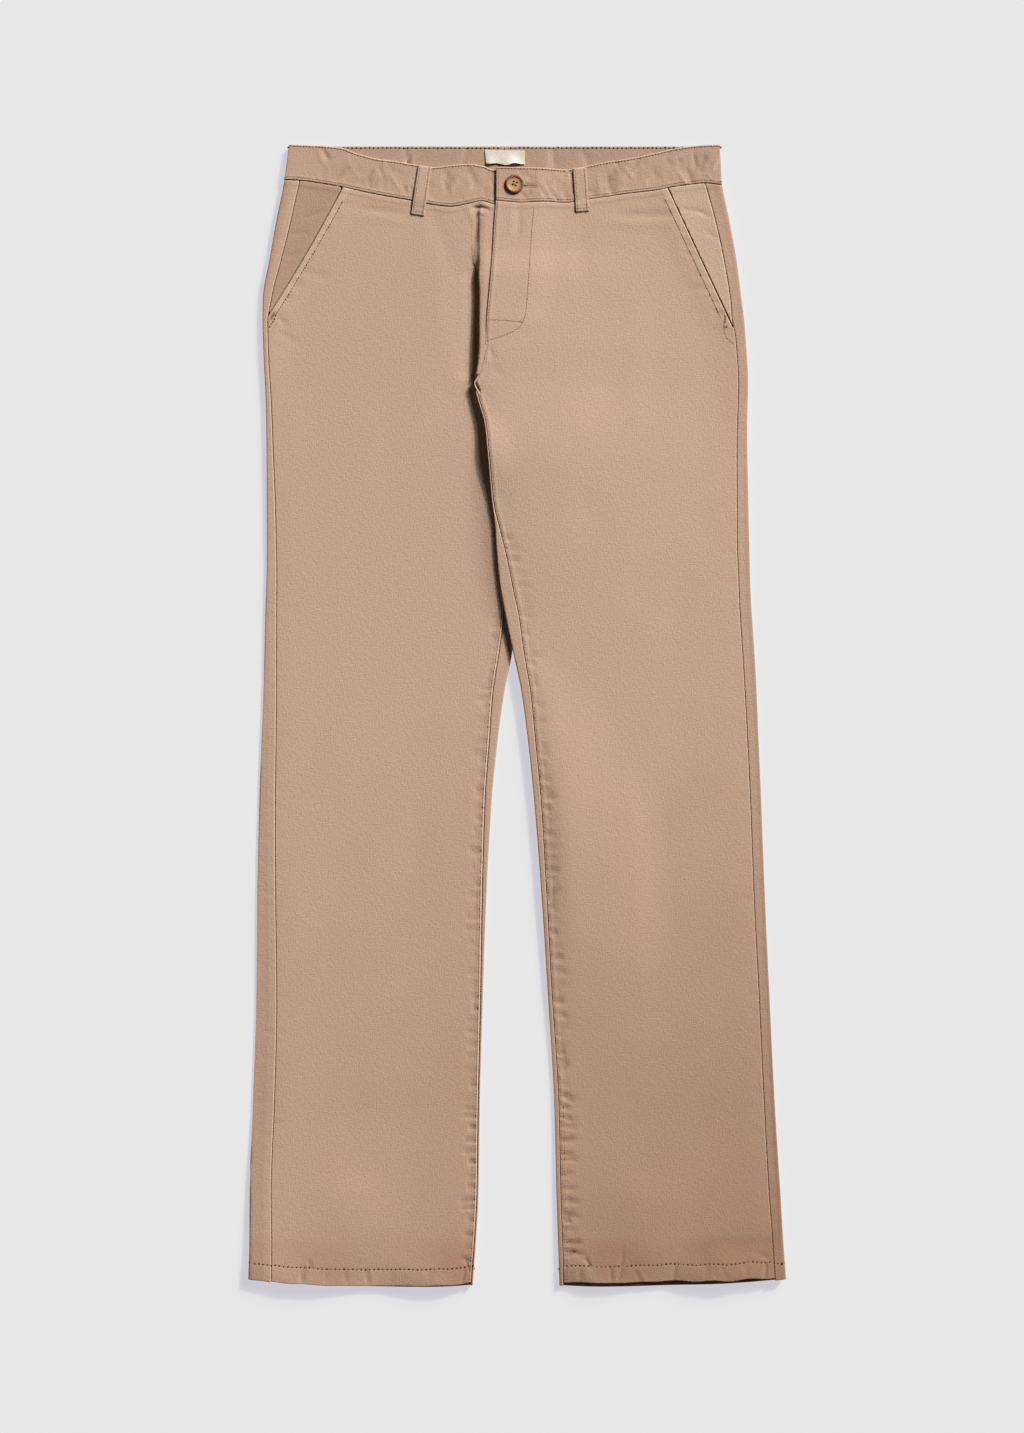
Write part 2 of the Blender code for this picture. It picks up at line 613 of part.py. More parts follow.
def label_points(column, row):
    """Points of the blank label's upper face, which lies on the inside of the back of the waistband."""
    x = LABEL_LEFT + (LABEL_RIGHT - LABEL_LEFT) * column / LABEL_COLUMNS
    part = row / LABEL_ROWS
    wave = LABEL_WAVE * part * (1 + math.sin(column * LABEL_BEAT))
    down = LABEL_TOP + (LABEL_BOTTOM - LABEL_TOP) * part + wave
    return place(x, down, BACK_RISE + BAND + SEAM + CLOTH + wave)


def clear_scene():
    """Removes whatever the scene holds."""
    for obj in list(bpy.data.objects):
        bpy.data.objects.remove(obj)


def material(name, colour, roughness):
    """A plain material of one sRGB colour, given as hex digits."""
    made = bpy.data.materials.new(name)
    made.use_nodes = True
    srgb = [int(colour[i : i + 2], 16) / 255 for i in (0, 2, 4)]
    linear = [c / 12.92 if c <= 0.04045 else ((c + 0.055) / 1.055) ** 2.4 for c in srgb]
    shader = made.node_tree.nodes["Principled BSDF"]
    shader.inputs["Base Color"].default_value = (*linear, 1.0)
    shader.inputs["Roughness"].default_value = roughness
    made.diffuse_color = (*linear, 1.0)
    return made


def build_object(name, bm, finish):
    """Turns a bmesh in millimetres into an object of the garment's collection."""
    bmesh.ops.scale(bm, vec=(MM, MM, MM), verts=bm.verts)
    mesh = bpy.data.meshes.new(name)
    bm.to_mesh(mesh)
    bm.free()
    mesh.shade_smooth()
    mesh.set_sharp_from_angle(angle=math.radians(SHARP_ANGLE))
    mesh.materials.append(finish)
    obj = bpy.data.objects.new(name, mesh)
    GARMENT.objects.link(obj)
    return obj


def cloth(name, points, columns, rows, wall, finish, flip, doubled_from=None):
    """A wall of cloth: a grid laid on its outer face by points(column, row), with the thickness behind it."""
    bm = bmesh.new()
    bmesh.ops.create_grid(bm, x_segments=columns, y_segments=len(rows) - 1, size=0.5)
    for vert in bm.verts:
        column = round((vert.co.x + 0.5) * columns)
        index = round((0.5 - vert.co.y) * (len(rows) - 1))
        vert.co = points(column, rows[index])
    if flip:
        bmesh.ops.reverse_faces(bm, faces=bm.faces)
    obj = build_object(name, bm, finish)
    solidify = obj.modifiers.new("wall", "SOLIDIFY")
    solidify.thickness = wall * MM
    solidify.offset = -1.0
    solidify.use_even_offset = True
    if doubled_from is not None:
        hem = obj.vertex_groups.new(name="hem")
        count = len(rows)
        lowest = [v.index for v in obj.data.vertices if row_of(v.index, columns, count) >= doubled_from]
        hem.add(lowest, 1.0, "REPLACE")
        solidify.vertex_group = "hem"
        solidify.thickness = 2 * wall * MM
        solidify.thickness_vertex_group = 0.5
    return obj


def row_of(index, columns, count):
    """Which row of a grid a vertex belongs to: create_grid numbers its vertices from the last row up."""
    return count - 1 - index // (columns + 1)


def strap(name, x, finish):
    """A back belt loop, flat under the waistband."""
    bm = bmesh.new()
    bmesh.ops.create_cube(bm, size=1.0)
    length = LOOP_END - BACK_TOP
    bmesh.ops.scale(bm, vec=(LOOP_WIDTH, length, LOOP), verts=bm.verts)
    middle = (BACK_TOP + LOOP_END) / 2
    bmesh.ops.translate(bm, vec=(x, LENGTH / 2 - middle, LOOP / 2), verts=bm.verts)
    obj = build_object(name, bm, finish)
    bevel = obj.modifiers.new("soft edges", "BEVEL")
    bevel.width = LOOP_EDGE * MM
    bevel.segments = 1
    return obj


# The button's section from the middle of its face round the rim to the middle of its back.
Turn = namedtuple("Turn", "radius height")
BUTTON_SECTION = [
    Turn(0.0, 2.3),
    Turn(5.2, 2.3),
    Turn(6.3, 2.9),
    Turn(7.6, 3.3),
    Turn(8.5, 2.9),
    Turn(BUTTON_RADIUS, 1.9),
    Turn(7.9, 0.5),
    Turn(6.4, 0.0),
    Turn(0.0, 0.0),
]


def button(finish):
    """A four-hole button with a raised rim, turned from its section."""
    x, down = BUTTON_AT
    seat = float(band_top(LEFT, np.array(x), np.array(down), LEFT.band_bottom_edge)) + SEAM
    bm = bmesh.new()
    ring = [bm.verts.new((turn.radius, 0.0, turn.height)) for turn in BUTTON_SECTION]
    for first, second in zip(ring, ring[1:]):
        bm.edges.new((first, second))
    obj = build_object("button", bm, finish)
    screw = obj.modifiers.new("turned", "SCREW")
    screw.steps = screw.render_steps = BUTTON_FACETS
    screw.use_merge_vertices = True
    screw.merge_threshold = 0.00001
    obj.location = (x * MM, (LENGTH / 2 - down) * MM, seat * MM)
    for index in range(BUTTON_HOLES):
        cut = obj.modifiers.new(f"hole {index}", "BOOLEAN")
        cut.operation = "DIFFERENCE"
        cut.object = button_drill(index, obj.location, finish)
    return obj


def button_drill(index, seat, finish):
    """The cutter of one of the button's holes."""
    angle = math.radians(HOLE_TURN + 360 / BUTTON_HOLES * index)
    middle = (HOLE_RING * math.cos(angle), HOLE_RING * math.sin(angle), DRILL_MIDDLE)
    bm = bmesh.new()
    bmesh.ops.create_cone(
        bm, cap_ends=True, segments=HOLE_FACETS, radius1=HOLE_RADIUS, radius2=HOLE_RADIUS, depth=DRILL_LENGTH
    )
    bmesh.ops.translate(bm, vec=middle, verts=bm.verts)
    cutter = build_object(f"hole_{index}", bm, finish)
    GARMENT.objects.unlink(cutter)
    CUTTERS.objects.link(cutter)
    cutter.location = seat
    cutter.hide_render = True
    cutter.display_type = "WIRE"
    return cutter


clear_scene()
GARMENT = bpy.data.collections.new("chino_trousers")
CUTTERS = bpy.data.collections.new("cutters")
bpy.context.scene.collection.children.link(GARMENT)
bpy.context.scene.collection.children.link(CUTTERS)

TWILL = material("khaki_twill", "C6A88C", 0.9)
LABEL_CLOTH = material("cream_label", "E6DDD0", 0.85)
HORN = material("brown_button", "A8713F", 0.4)

front_hem = PANEL_ROWS.index(HEM_ROWS[1])
back_hem = BACK_ROWS.index(HEM_ROWS[1])
right_columns = FLAT_COLUMNS + len(FOLD_STATIONS) + STRIP_COLUMNS - 1
cloth("front_right", front_right_points, right_columns, PANEL_ROWS, CLOTH, TWILL, False, front_hem)
cloth("front_left", front_left_points, LEFT_COLUMNS, PANEL_ROWS, CLOTH, TWILL, False, front_hem)
for side in (RIGHT, LEFT):
    flip = side is LEFT
    facing_rows, band_rows = range(FACING_ROWS + 1), range(BAND_ROWS + 1)
    cloth(f"back_{side.name}", back_points(side), BACK_COLUMNS, BACK_ROWS, CLOTH, TWILL, flip, back_hem)
    cloth(f"pocket_facing_{side.name}", facing_points(side), FACING_COLUMNS, facing_rows, CLOTH, TWILL, flip)
    cloth(f"waistband_{side.name}", band_points(side), BAND_COLUMNS, band_rows, BAND, TWILL, flip)
for loop in FRONT_LOOPS:
    cloth(loop.name, loop_points(loop), LOOP_COLUMNS, range(LOOP_ROWS + 1), LOOP, TWILL, loop.side is RIGHT)
for loop_name, loop_x in BACK_LOOPS.items():
    strap(loop_name, loop_x, TWILL)
cloth("label", label_points, LABEL_COLUMNS, range(LABEL_ROWS + 1), CLOTH, LABEL_CLOTH, False)
button(HORN)
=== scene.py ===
"""Chino trousers in khaki twill, laid out flat, front up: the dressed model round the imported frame.

Sizes are millimetres until a mesh is made. "down" is the distance below the top of the waistband, and
"across" the distance from the centre line towards a leg's own side. Right and left are the wearer's: the
right leg lies at -X.
"""

import logging
import math
from dataclasses import dataclass, field
from enum import Enum
from typing import Callable, NamedTuple, Sequence

import bmesh
import bpy
import numpy as np
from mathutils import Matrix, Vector
from mathutils.bvhtree import BVHTree


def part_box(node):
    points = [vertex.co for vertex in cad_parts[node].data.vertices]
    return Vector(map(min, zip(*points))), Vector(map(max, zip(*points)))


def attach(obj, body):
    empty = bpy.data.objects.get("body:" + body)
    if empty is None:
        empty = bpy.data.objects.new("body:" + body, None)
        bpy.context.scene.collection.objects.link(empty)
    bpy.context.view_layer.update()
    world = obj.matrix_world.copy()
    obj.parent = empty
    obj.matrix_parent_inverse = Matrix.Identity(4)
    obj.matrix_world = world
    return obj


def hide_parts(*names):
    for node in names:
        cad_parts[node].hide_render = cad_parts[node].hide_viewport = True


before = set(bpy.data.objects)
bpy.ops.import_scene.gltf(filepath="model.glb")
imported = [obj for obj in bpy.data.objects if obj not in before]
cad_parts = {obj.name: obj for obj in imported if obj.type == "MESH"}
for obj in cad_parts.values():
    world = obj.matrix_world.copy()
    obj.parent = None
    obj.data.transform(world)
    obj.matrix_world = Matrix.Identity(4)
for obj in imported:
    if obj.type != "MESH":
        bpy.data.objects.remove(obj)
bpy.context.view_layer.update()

LOG = logging.getLogger("chinos")
MM = 0.001
BODY = "root"
FAR = 9999.0
Array = np.ndarray
Pair = tuple[float, float]
Triple = tuple[float, float, float]
Material = bpy.types.Material
NODE_LEADS = ("ShaderNode", "GeometryNode", "FunctionNode", "Node")


# ---- Small helpers ----


def smooth(share: Array) -> Array:
    """0 below 0, 1 above 1, and an even S between."""
    share = np.clip(share, 0.0, 1.0)
    return share * share * (3 - 2 * share)


def bell(share: Array) -> Array:
    """1 at 0, and falling away evenly on both sides of it."""
    return np.exp(-(share**2))


def bow(part: Array) -> Array:
    """0 at both ends of a line and 1 at its middle."""
    return 4 * part * (1 - part)


def evenly(start: float, stop: float, count: int) -> list[float]:
    """Numbers from start to stop, both included."""
    return [start + (stop - start) * i / (count - 1) for i in range(count)]


def mirrored(near: Sequence[float], middle: Sequence[float], far: float) -> list[float]:
    """Close steps from 0, then those of the middle, then the same close steps up to the far end."""
    return [*near, *middle, *(far - off for off in near[::-1])]


def rows_of(kind: type, *rows: tuple) -> tuple:
    """Rows of one kind from their bare values."""
    return tuple(kind(*row) for row in rows)


def read(table: Sequence, column: str, at: Array) -> Array:
    """Reads a column of a table at any distance, on a smooth curve that never overshoots its rows.

    Args:
        table: Rows of one kind, whose first column rises.
        column: The name of the column to read.
        at: Where to read it, along the first column.

    Returns:
        The column's value at each distance.
    """
    keys = np.array([row[0] for row in table], float)
    values = np.array([getattr(row, column) for row in table], float)
    steps = np.diff(keys)
    slopes = np.diff(values) / steps
    before, after = slopes[:-1], slopes[1:]
    turning = before * after <= 0
    inner = np.where(turning, 0.0, 2 * before * after / np.where(turning, 1.0, before + after))
    tangents = np.concatenate([[slopes[0]], inner, [slopes[-1]]])
    at = np.clip(at, keys[0], keys[-1])
    left = np.clip(np.searchsorted(keys, at, side="right") - 1, 0, len(steps) - 1)
    part = (at - keys[left]) / steps[left]
    return (
        values[left] * (1 + 2 * part) * (1 - part) ** 2
        + values[left + 1] * part**2 * (3 - 2 * part)
        + steps[left] * part * (1 - part) * (tangents[left] * (1 - part) - tangents[left + 1] * part)
    )


def linear(colour: str) -> tuple[float, float, float, float]:
    """Turns a colour from sRGB hex digits to the linear values that a shader takes.

    Args:
        colour: Six hex digits.

    Returns:
        Red, green, blue and a full alpha.
    """
    parts = [int(colour[i : i + 2], 16) / 255 for i in (0, 2, 4)]
    return (*(c / 12.92 if c <= 0.04045 else ((c + 0.055) / 1.055) ** 2.4 for c in parts), 1.0)


def feed(node: bpy.types.Node, inputs: dict | Sequence) -> None:
    """Links a node's inputs or sets their values.

    Args:
        node: The node.
        inputs: What each input takes, by its name or number, or in their order. It is a value, a socket, or
            a node whose first output in use is linked.
    """
    for name, value in inputs.items() if isinstance(inputs, dict) else enumerate(inputs):
        if isinstance(value, bpy.types.Node):
            value = next(socket for socket in value.outputs if socket.enabled)
        if isinstance(value, bpy.types.NodeSocket):
            node.id_data.links.new(value, node.inputs[name])
        else:
            node.inputs[name].default_value = value


def add(tree: bpy.types.NodeTree, kind: str, inputs: dict | Sequence = (), **settings) -> bpy.types.Node:
    """Adds a node with its settings and links.

    Args:
        tree: The node tree to add it to.
        kind: The node's type name, without its lead.
        inputs: What its inputs take.
        **settings: Properties of the node itself.

    Returns:
        The new node.
    """
    node = tree.nodes.new(next(lead + kind for lead in NODE_LEADS if hasattr(bpy.types, lead + kind)))
    for name, value in settings.items():
        setattr(node, name, value)
    feed(node, inputs)
    return node


def placed(name: str, data: bpy.types.ID) -> bpy.types.Object:
    """A new object in the scene, at the origin."""
    obj = bpy.data.objects.new(name, data)
    bpy.context.scene.collection.objects.link(obj)
    return obj


class Span(NamedTuple):
    """A stretch over which something sets in: where it starts, and how long it is."""

    start: float
    run: float

    def of(self, at: Array) -> Array:
        """0 before the stretch, 1 after it, and an even S along it."""
        return smooth((at - self.start) / self.run)


# ---- The cut, as tables ----


class Section(NamedTuple):
    """A leg's edges at one height, and the strips of its back panel that show beside the seams."""

    down: float
    outer: float
    outer_strip: float
    inner: float
    inner_strip: float


class FlyRow(NamedTuple):
    """The fly at one height, along X: its edge, the fold beside it, and how far the right front runs on."""

    down: float
    edge: float
    fold: float
    depth: float
    rise: float
    lap: float


class BandRow(NamedTuple):
    """Upper and lower edge of the front of the waistband."""

    across: float
    top: float
    bottom: float


class Hem(NamedTuple):
    """How far down a hem's two corners are, its sag between them, and its unevenness."""

    outer: float
    inner: float
    bow: float
    ripple: float = 0.0


class Mouth(NamedTuple):
    """The slanted mouth of a front pocket."""

    top_across: float
    top: float
    bottom_across: float
    bottom: float
    bow: float


class Station(NamedTuple):
    """A point on the fold beside the fly: its place from the crease, folded and loose, and its height."""

    index: float
    from_fold: float
    with_depth: float
    with_turn: float
    loose: float
    rise: float


class Wave(NamedTuple):
    """How far a hem stands over its plain lie."""

    across: float
    rise: float


class Loft(NamedTuple):
    """How high a leg's edges stand over its underside, and how far the left leg lies over the right."""

    down: float
    outer: float
    inner: float
    stack: float = 0.0


RIGHT_LEG = rows_of(
    Section,
    (36, 218.5, 14.0, 41.5, 1.5), (70, 225.6, 13.5, 41.5, 1.5), (107, 232.2, 11.0, 41.5, 1.5),
    (145, 238.6, 8.0, 41.5, 1.5), (165, 238.9, 4.8, 41.5, 1.5), (200, 237.8, 4.5, 41.5, 1.5),
    (224, 236.7, 4.7, 38.6, 1.5), (227, 236.6, 4.8, 38.0, 1.5), (230, 236.4, 4.8, 36.8, 1.5),
    (234, 236.2, 4.9, 34.6, 1.6), (241, 235.9, 5.0, 30.6, 2.2), (262, 235.5, 5.5, 19.0, 4.5),
    (285, 235.2, 6.0, 11.0, 7.0), (335, 235.0, 7.8, 1.0, 10.0), (390, 235.0, 9.0, -1.5, 12.0),
    (440, 236.4, 10.3, 0.0, 12.7), (475, 237.2, 11.0, 4.2, 12.6), (515, 238.2, 12.0, 12.0, 10.8),
    (560, 240.0, 13.4, 18.2, 8.0), (615, 242.0, 14.7, 23.7, 6.4), (710, 244.2, 17.2, 29.0, 3.9),
    (800, 244.9, 18.9, 32.1, 2.3), (900, 248.1, 20.0, 35.0, 1.6), (985, 251.1, 20.0, 36.2, 1.6),
    (1030, 251.2, 20.8, 38.6, 1.6), (1068, 252.0, 21.5, 41.5, 1.5),
)
LEFT_LEG = rows_of(
    Section,
    (36, 191.8, 15.6, -40.4, 1.5), (70, 199.2, 13.4, -40.4, 1.5), (107, 205.9, 12.0, -40.4, 1.5),
    (145, 210.8, 10.6, -40.4, 1.5), (165, 213.4, 11.6, -40.4, 1.5), (181, 214.6, 9.6, -40.4, 1.5),
    (224, 217.0, 9.3, -40.4, 1.5), (240, 216.6, 9.2, -36.9, 1.6), (262, 216.2, 9.5, -30.6, 1.5),
    (285, 216.3, 10.0, -28.2, 1.5), (335, 217.3, 10.8, -23.6, 1.5), (360, 217.8, 11.2, -20.4, 3.9),
    (380, 218.3, 11.5, -19.2, 7.8), (412, 219.2, 11.1, -16.2, 11.4), (440, 220.6, 11.3, -11.4, 12.6),
    (475, 223.0, 11.4, -4.0, 10.2), (515, 225.2, 11.1, 4.4, 8.4), (560, 227.0, 10.5, 10.3, 7.0),
    (615, 229.4, 10.3, 16.0, 6.4), (710, 233.1, 10.4, 23.4, 4.7), (800, 237.2, 9.9, 29.1, 3.9),
    (900, 242.1, 10.1, 35.0, 4.2), (985, 247.4, 10.9, 37.1, 4.0), (1030, 250.0, 10.2, 38.6, 4.1),
    (1068, 252.5, 10.5, 39.9, 3.6),
)
FLY = rows_of(
    FlyRow,
    (50, -19.7, -35.5, 0.0, 0.22, 31.0), (72, -21.4, -37.3, 0.0, 0.34, 31.0),
    (98, -22.9, -37.6, 0.0, 0.52, 31.0), (112, -23.9, -36.9, 1.2, 0.78, 30.0),
    (124, -24.9, -36.2, 4.6, 0.95, 30.0), (140, -26.3, -35.4, 9.0, 1.00, 29.0),
    (166, -28.6, -35.7, 9.0, 1.00, 26.0), (186, -29.5, -35.8, 8.0, 1.00, 9.0),
    (200, -30.4, -36.4, 6.0, 1.00, 3.0), (213, -34.6, -38.2, 5.0, 0.95, 2.0),
    (219, -37.4, -39.4, 4.5, 0.90, 1.6), (224, -40.2, -39.0, 3.4, 0.80, 1.4),
    (229, -40.2, -39.6, 0.0, 0.60, 1.4),
)
RIGHT_BAND = rows_of(
    BandRow,
    (-14, 24.0, 51.0), (15, 24.0, 51.6), (20, 24.2, 56.0), (33, 20.0, 52.8), (45, 18.4, 55.0),
    (62, 19.5, 57.9), (78, 21.3, 56.3), (97, 18.7, 52.5), (112, 16.0, 50.0), (131, 13.5, 46.6),
    (150, 8.5, 42.8), (166, 3.0, 39.2), (185, 1.2, 36.0), (201, 0.6, 33.7), (214, 0.0, 33.0),
)
LEFT_BAND = rows_of(
    BandRow,
    (-19.7, 21.2, 52.5), (4, 21.7, 54.4), (27, 22.3, 53.4), (45, 23.6, 54.4), (66, 20.2, 51.3),
    (85, 16.2, 48.6), (104, 13.4, 45.8), (130, 8.0, 42.8), (148, 4.0, 39.2), (162, 1.8, 37.3),
    (176, 0.6, 36.0), (190, 0.2, 37.4),
)
RIGHT_HEM_WAVE = rows_of(
    Wave,
    (41, 1.0), (70, 5.4), (134, 0.0), (200, 5.6), (252, 1.4),
)
LEFT_HEM_WAVE = rows_of(
    Wave,
    (41, 0.4), (76, 6.4), (142, 1.8), (194, 7.0), (252, 2.6),
)
RIGHT_LOFT = rows_of(
    Loft,
    (200, 5.4, 4.8), (300, 4.4, 3.6), (400, 3.2, 3.4), (520, 2.3, 3.2), (900, 2.1, 2.8), (1053, 6.6, 6.2),
    (1072, 6.6, 6.2),
)
LEFT_LOFT = rows_of(
    Loft,
    (120, 5.4, 4.8, 0.0), (192, 5.4, 4.6, 5.6), (240, 5.0, 4.2, 7.1), (287, 4.6, 6.6, 8.0),
    (334, 4.2, 4.0, 7.0), (385, 3.8, 3.7, 6.1), (430, 3.4, 3.6, 5.0), (474, 3.0, 3.8, 4.0),
    (540, 2.6, 4.4, 2.9), (620, 2.4, 4.8, 2.0), (720, 2.3, 5.2, 1.0), (900, 2.3, 3.0, 0.0),
    (1053, 5.8, 4.4, 0.0), (1072, 5.8, 4.4, 0.0),
)
FOLD = rows_of(
    Station,
    (0, -26.0, 0, 0.0, -26.0, 0.0), (1, -17.0, 0, 0.0, -17.0, -0.4), (2, -9.0, 0, 0.0, -11.0, -1.2),
    (3, 0.0, 1, -0.8, -8.6, -2.0), (4, 0.0, 1, -0.24, -7.4, -1.8), (5, 0.0, 1, 0.0, -6.4, -1.0),
    (6, 0.0, 1, -0.24, -5.0, 0.3), (7, 0.0, 1, -0.8, -3.1, 0.9), (8, 0.0, 0, 1.5, -1.2, 1.9),
    (9, 0.0, 0, 0.45, 0.2, 2.7), (10, 0.0, 0, 0.0, 1.4, 4.0), (11, 0.0, 0, 0.45, 2.4, 5.1),
    (12, 0.0, 0, 1.5, 3.0, 5.6),
)


@dataclass(frozen=True)
class Leg:
    """One side of the trousers: the outline of its leg, its waistband, hems and pocket mouth."""

    name: str
    sign: int
    sections: tuple[Section, ...]
    roll_start: float
    band: tuple[BandRow, ...]
    band_top_edge: float
    band_bottom_edge: float
    band_end: float
    front_hem: Hem
    back_hem: Hem
    mouth: Mouth
    hem_wave: tuple[Wave, ...]
    loft: tuple[Loft, ...]

    def at(self, column: str, down: Array) -> Array:
        """A column of the leg's outline at a height."""
        return read(self.sections, column, down)

    def outseam(self, down: Array) -> Array:
        """How far across the outseam lies."""
        return self.at("outer", down) - self.at("outer_strip", down)


RIGHT = Leg(
    "right", -1, RIGHT_LEG, 231.0, RIGHT_BAND, 214.0, 218.5, -14.0, Hem(1064.8, 1068.2, 4.6, 0.45),
    Hem(1065.0, 1070.6, 4.2), Mouth(163.0, 39.0, 232.8, 160.0, -1.8), RIGHT_HEM_WAVE, RIGHT_LOFT,
)
LEFT = Leg(
    "left", 1, LEFT_LEG, 224.0, LEFT_BAND, 190.4, 192.3, -19.7, Hem(1063.2, 1068.3, 0.8, 0.7),
    Hem(1064.8, 1071.2, 2.8), Mouth(140.8, 40.0, 202.3, 172.0, 0.0), LEFT_HEM_WAVE, LEFT_LOFT,
)
LEGS = (RIGHT, LEFT)


# ---- How the garment lies ----


@dataclass(frozen=True)
class Lie:
    """Heights of the garment's upper side, and the lines that its seams follow."""

    length: float = 1072.0
    crotch: float = 224.0
    crotch_run: float = 9.0
    seam: float = 0.3
    waist_seam: float = 0.5
    loft: float = 5.4
    middle: float = 4.8
    slim_middle: float = 2.9
    hem_middle: float = 6.6
    slimming: Span = Span(260.0, 260.0)
    hem_filling: Span = Span(903.0, 150.0)
    shoulder: float = 16.0
    broad: float = 74.0
    broadening: Span = Span(430.0, 240.0)
    plump: float = 3.0
    plump_run: float = 16.0
    plump_ending: Span = Span(640.0, 220.0)
    half_across: Span = Span(-40.0, 80.0)
    hem_lifting: Span = Span(1020.0, 48.0)
    hem_shifting: Span = Span(948.0, 120.0)
    ripples: Triple = (8.3, 21.0, 5.1)
    waist_shifting: Span = Span(58.0, 100.0)
    stack_ending: Span = Span(6.0, 225.0)
    fold_ending: Span = Span(210.0, 14.0)
    tucking: Span = Span(216.0, 7.0)
    square: float = 0.4
    ridge_height: float = 5.6
    ridge_ending: Span = Span(180.0, 80.0)
    ridge_spread: Span = Span(7.0, 200.0)
    lap_rise: float = 1.2
    lap_spread: Span = Span(2.0, 34.0)
    lap_thinned: float = 0.75
    lap_thinning: Span = Span(160.0, 25.0)
    lap_ending: Span = Span(200.0, 50.0)
    pocket_rise: float = 0.7
    pocket_spread: float = 30.0
    pocket_ending: Span = Span(-8.0, 26.0)
    band_proud: float = 0.6
    band_lap: float = 2.0
    band_lap_spread: Span = Span(19.0, 26.0)
    back_top: float = 1.5
    back_bottom: float = 38.5
    back_rise: float = 1.7
    loop_end: float = 46.5
    loop_ending: Span = Span(46.5, 12.0)
    centre_back: float = -11.7
    crotch_point: float = -40.6
    clear: float = 0.3
    first_row: float = 58.0
    last_row: float = 1068.0

    def squared(self, value: Array) -> Array:
        """A sine or cosine, drawn out so that a circle becomes the flatter section of a pressed edge."""
        return np.sign(value) * np.abs(value) ** self.square

    def edge_height(self, leg: Leg, down: Array, outer: bool = True) -> Array:
        """Height of a leg's rolled edge over its underside."""
        return read(leg.loft, "outer" if outer else "inner", down)

    def rolled(self, leg: Leg, inside: Array, down: Array, outer: bool = True) -> Array:
        """Height of a flattened leg's upper face beside one of its edges.

        Args:
            leg: The leg.
            inside: The distance from the edge.
            down: How far down.
            outer: Whether the edge is the outside one.

        Returns:
            The height over the leg's underside.
        """
        edge = self.edge_height(leg, down, outer)
        middle = self.middle + (self.slim_middle - self.middle) * self.slimming.of(down)
        middle = middle + (self.hem_middle - middle) * self.hem_filling.of(down)
        radius = edge / 2
        from_crest = (1 - np.clip(inside / radius, 0, 1)) ** (1 / self.square)
        on_roll = radius + radius * self.squared(np.sqrt(1 - from_crest**2))
        past, shoulder = np.maximum(inside - radius, 0), self.shoulder
        if leg is LEFT and not outer:
            below = self.broadening.of(down)
            shoulder = shoulder + self.broad * below
            plump = self.plump * below * (1 - self.plump_ending.of(down))
            edge = edge + plump * (1 - bell(past / self.plump_run))
        return np.where(inside < radius, on_roll, middle + (edge - middle) * bell(past / shoulder))

    def below_crotch(self, down: Array) -> Array:
        """0 above the crotch and 1 where the legs' inside edges have formed."""
        return smooth((down - self.crotch) / self.crotch_run)

    def inside_rolled(self, leg: Leg, down: Array) -> Array:
        """0 above the crotch and 1 where the leg's inside edge is a full roll."""
        return smooth((down - leg.roll_start) / self.crotch_run)

    def puff(self, leg: Leg, across: Array, down: Array) -> Array:
        """Height of a leg's upper face over its own underside.

        Args:
            leg: The leg.
            across: How far across.
            down: How far down.

        Returns:
            The height, which above the crotch has no inside roll.
        """
        to_outer, to_inner = leg.at("outer", down) - across, across - leg.at("inner", down)
        hip = self.rolled(leg, to_outer, down)
        tube = self.rolled(leg, to_inner, down, False)
        tube = hip + (tube - hip) * self.half_across.of(to_outer - to_inner)
        return hip + (tube - hip) * self.inside_rolled(leg, down)

    def hem_lift(self, leg: Leg, across: Array, down: Array) -> Array:
        """How far the end of a leg stands off the floor, in waves."""
        return read(leg.hem_wave, "rise", across) * self.hem_lifting.of(down)

    def thigh_lift(self, x: Array, down: Array) -> Array:
        """How far the right thigh lifts the left leg that lies on it."""
        return read(LEFT_LOFT, "stack", down) * (1 - self.stack_ending.of(x + RIGHT.at("inner", down)))

    def fold_rise(self, down: Array) -> Array:
        """How much of its full depth the fold beside the fly has."""
        return read(FLY, "rise", down) * (1 - self.fold_ending.of(down))

    def untucked(self, down: Array) -> Array:
        """1 where the fold stands beside the fly, and 0 where its strip has sunk under the left front."""
        return 1 - self.tucking.of(down)

    def ridge(self, x: Array, down: Array) -> Array:
        """Height of the cloth at the fly: the fold's, falling away to the left, with the right thigh's."""
        fold = self.ridge_height * read(FLY, "rise", down) * (1 - self.ridge_ending.of(down))
        fold = fold * (1 - self.ridge_spread.of(x - read(FLY, "fold", down)))
        return np.cbrt(fold**3 + self.thigh_lift(x, down) ** 3)

    def fly_lap(self, x: Array, down: Array) -> Array:
        """How far the left front stands over the right one at the fly."""
        past_lap = x - read(FLY, "edge", down) - read(FLY, "lap", down)
        ending = (1 - self.lap_thinned * self.lap_thinning.of(down)) * (1 - self.lap_ending.of(down))
        return self.lap_rise * (1 - self.lap_spread.of(past_lap)) * ending

    def loop_lift(self, down: Array) -> Array:
        """How far the belt loops under the back lift the waistband and the top of the back panels."""
        return self.back_rise * (1 - self.loop_ending.of(down))

    def mouth(self, leg: Leg, down: Array) -> Array:
        """Where the front pocket's edge lies, and below the pocket where the outseam lies."""
        place = leg.mouth
        part = np.clip((down - place.top) / (place.bottom - place.top), -0.2, 1)
        line = place.top_across + (place.bottom_across - place.top_across) * part + place.bow * bow(part)
        outseam = leg.outseam(down)
        return np.where(down < place.bottom, np.minimum(line, outseam), outseam)

